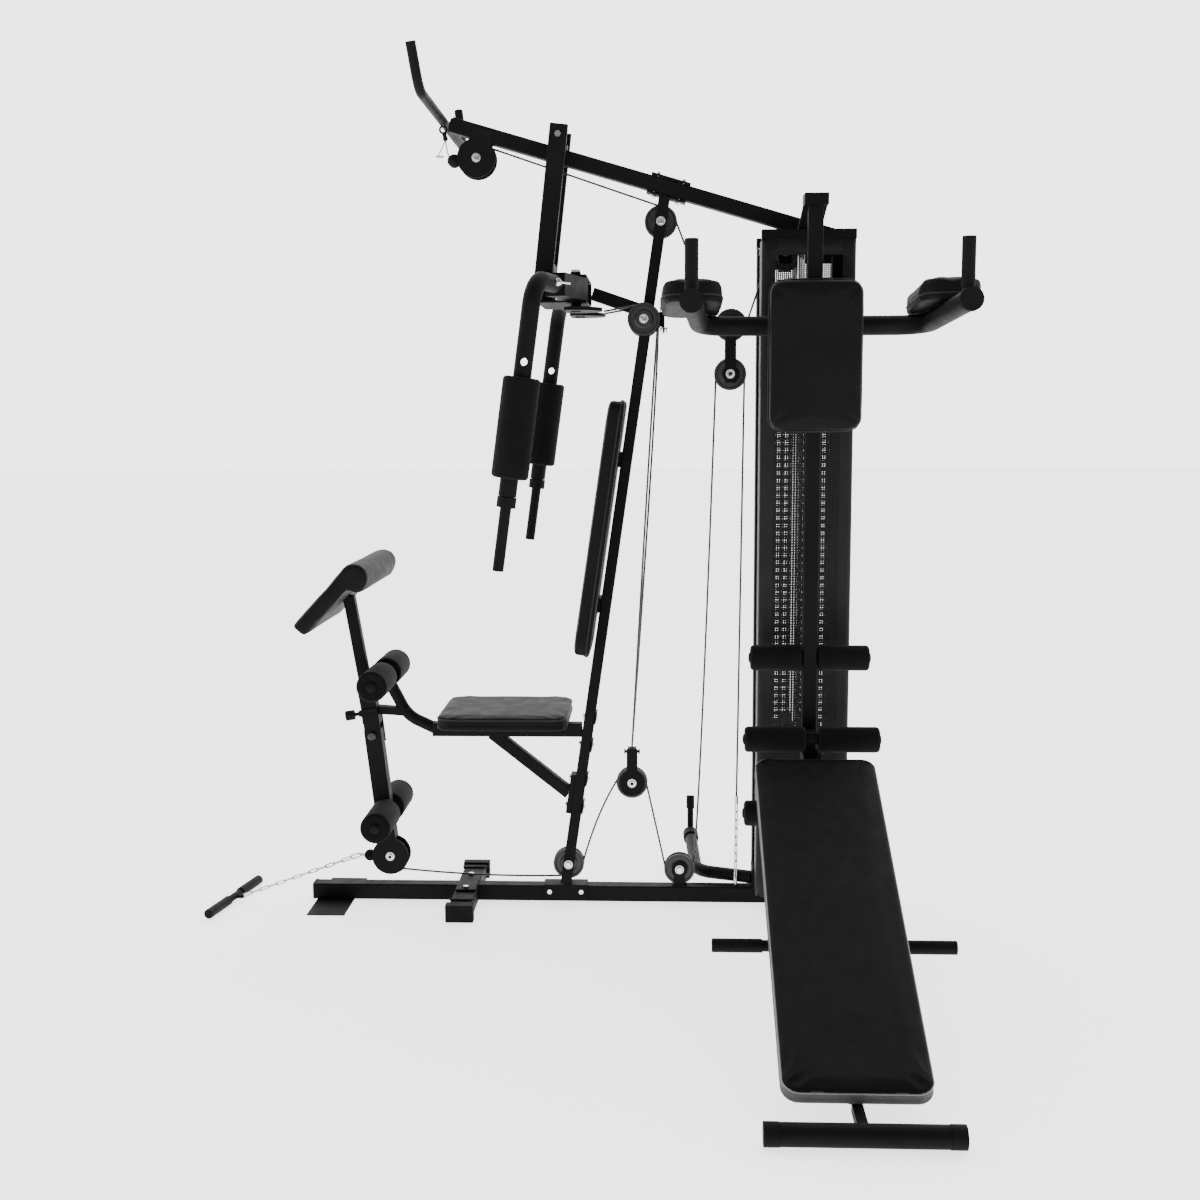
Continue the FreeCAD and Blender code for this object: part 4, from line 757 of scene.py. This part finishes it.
# ---------------------------------------------------------------- perforated guards
def guard(node, side):
    """Bent steel sheet with rounded corners and a field of punched holes in its face."""
    low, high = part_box(node)
    bend, margin = 0.014, 0.034
    pitch, hole = (0.007, 0.0017) if side < 0 else (0.0055, 0.0013)
    window_low, window_high = 1.655, 1.805
    thick = 0.0014
    face_y = (low.y if side < 0 else high.y) - side * thick / 2
    edge_y = high.y if side < 0 else low.y
    left, right = low.x + thick / 2, high.x - thick / 2
    columns = int((right - left - 2 * margin) / pitch)
    field_left = (left + right) / 2 - columns * pitch / 2
    rows = int((high.z - low.z - 0.08) / pitch)
    field_low = (low.z + high.z) / 2 - rows * pitch / 2
    shape = bmesh.new()
    levels = [low.z] + [field_low + row * pitch for row in range(rows + 1)] + [high.z]

    profile = [(left, edge_y), (left, face_y - side * bend)]
    for step in range(1, 6):
        angle = math.pi / 2 * step / 5
        profile.append((left + bend * (1 - math.cos(angle)), face_y - side * bend * (1 - math.sin(angle))))
    other_end = [(left + right - x, y) for x, y in reversed(profile)]
    margins = [(field_left + step * pitch, face_y) for step in range(columns + 1)]
    outline = profile + margins + other_end
    grid = [[shape.verts.new((x, y, level)) for x, y in outline] for level in levels]
    first = len(profile)
    for row in range(len(levels) - 1):
        for column in range(len(outline) - 1):
            corners = [grid[row][column], grid[row][column + 1],
                       grid[row + 1][column + 1], grid[row + 1][column]]
            punched = first <= column < first + columns and 0 < row < len(levels) - 2
            if not punched:
                shape.faces.new(corners)
                continue
            middle = (corners[0].co + corners[2].co) / 2
            if side < 0 and window_low < middle.z < window_high:
                continue
            ring = [shape.verts.new(middle + Vector((math.cos(a), 0, math.sin(a))) * hole)
                    for a in (math.pi / 4 * step for step in range(8))]
            for quarter, corner in enumerate((2, 3, 0, 1)):
                here, there = corners[corner], corners[(corner + 1) % 4]
                spokes = [ring[(2 * quarter + turn) % 8] for turn in (3, 2, 1)]
                shape.faces.new([here, there] + spokes)
    obj = piece("perforated_" + node, shape, GUARD, "frame", (node,), smooth=25)
    skin = obj.modifiers.new("Thickness", "SOLIDIFY")
    skin.thickness = thick
    skin.offset = 0
    keep_result(obj)


# ---------------------------------------------------------------- stage
def make_stage():
    size = 30.0
    shape = bmesh.new()
    bmesh.ops.create_grid(shape, x_segments=2, y_segments=2, size=size)
    mesh = bpy.data.meshes.new("floor")
    shape.to_mesh(mesh)
    shape.free()
    floor = bpy.data.objects.new("floor", mesh)
    floor.location = (0, 0, -0.0008)
    glow = FLOOR.node_tree.nodes["Principled BSDF"]
    glow.inputs["Emission Color"].default_value = (1.0, 1.0, 1.0, 1)
    glow.inputs["Emission Strength"].default_value = 2.0
    mesh.materials.append(FLOOR)
    bpy.context.scene.collection.objects.link(floor)

    world = bpy.data.worlds.new("studio")
    world.use_nodes = True
    tree = world.node_tree
    background = tree.nodes["Background"]
    background.inputs["Color"].default_value = (1.0, 1.0, 1.0, 1)
    direction = tree.nodes.new("ShaderNodeTexCoord")
    split = tree.nodes.new("ShaderNodeSeparateXYZ")
    fade = tree.nodes.new("ShaderNodeMapRange")
    fade.inputs["From Min"].default_value = -0.1
    fade.inputs["From Max"].default_value = 0.7
    fade.inputs["To Min"].default_value = 0.30
    fade.inputs["To Max"].default_value = 3.6
    tree.links.new(direction.outputs["Generated"], split.inputs["Vector"])
    tree.links.new(split.outputs["Y"], fade.inputs["Value"])
    tree.links.new(fade.outputs["Result"], background.inputs["Strength"])
    bpy.context.scene.world = world

    for name, place, aim, size, power in (
            ("key", (-2.6, -2.6, 4.2), (0.1, 0, 0.9), 2.4, 40),
            ("fill", (3.4, -2.2, 3.0), (0.3, 0, 0.9), 2.0, 14),
            ("top", (0.2, 0.9, 4.6), (0.1, 0, 0.8), 3.0, 35)):
        data = bpy.data.lights.new(name, "AREA")
        data.shape = "SQUARE"
        data.size = size
        data.energy = power
        light = bpy.data.objects.new(name, data)
        light.location = place
        light.rotation_mode = "QUATERNION"
        light.rotation_quaternion = (Vector(aim) - Vector(place)).to_track_quat("-Z", "Y")
        bpy.context.scene.collection.objects.link(light)


def make_camera():
    yaw, pitch, roll = math.radians(2.4135), math.radians(7.353), math.radians(-0.239)
    ahead = Vector((-math.sin(yaw) * math.cos(pitch), math.cos(yaw) * math.cos(pitch), -math.sin(pitch)))
    right = Vector((math.cos(yaw), math.sin(yaw), 0))
    up = right.cross(ahead)
    turned_right = right * math.cos(roll) + up * math.sin(roll)
    turned_up = up * math.cos(roll) - right * math.sin(roll)
    data = bpy.data.cameras.new("camera")
    data.lens = 44.69
    data.sensor_width = 36
    camera = bpy.data.objects.new("camera", data)
    camera.matrix_world = basis(turned_right, turned_up, -ahead, Vector((0.2735, -4.1049, 1.3907)))
    bpy.context.scene.collection.objects.link(camera)
    bpy.context.scene.camera = camera


make_camera()
make_stage()
paint_frame()
make_cables()
guard("guard_sheet_front", -1)
guard("guard_sheet_rear", 1)
make_foam()
make_hardware()
make_cushions()
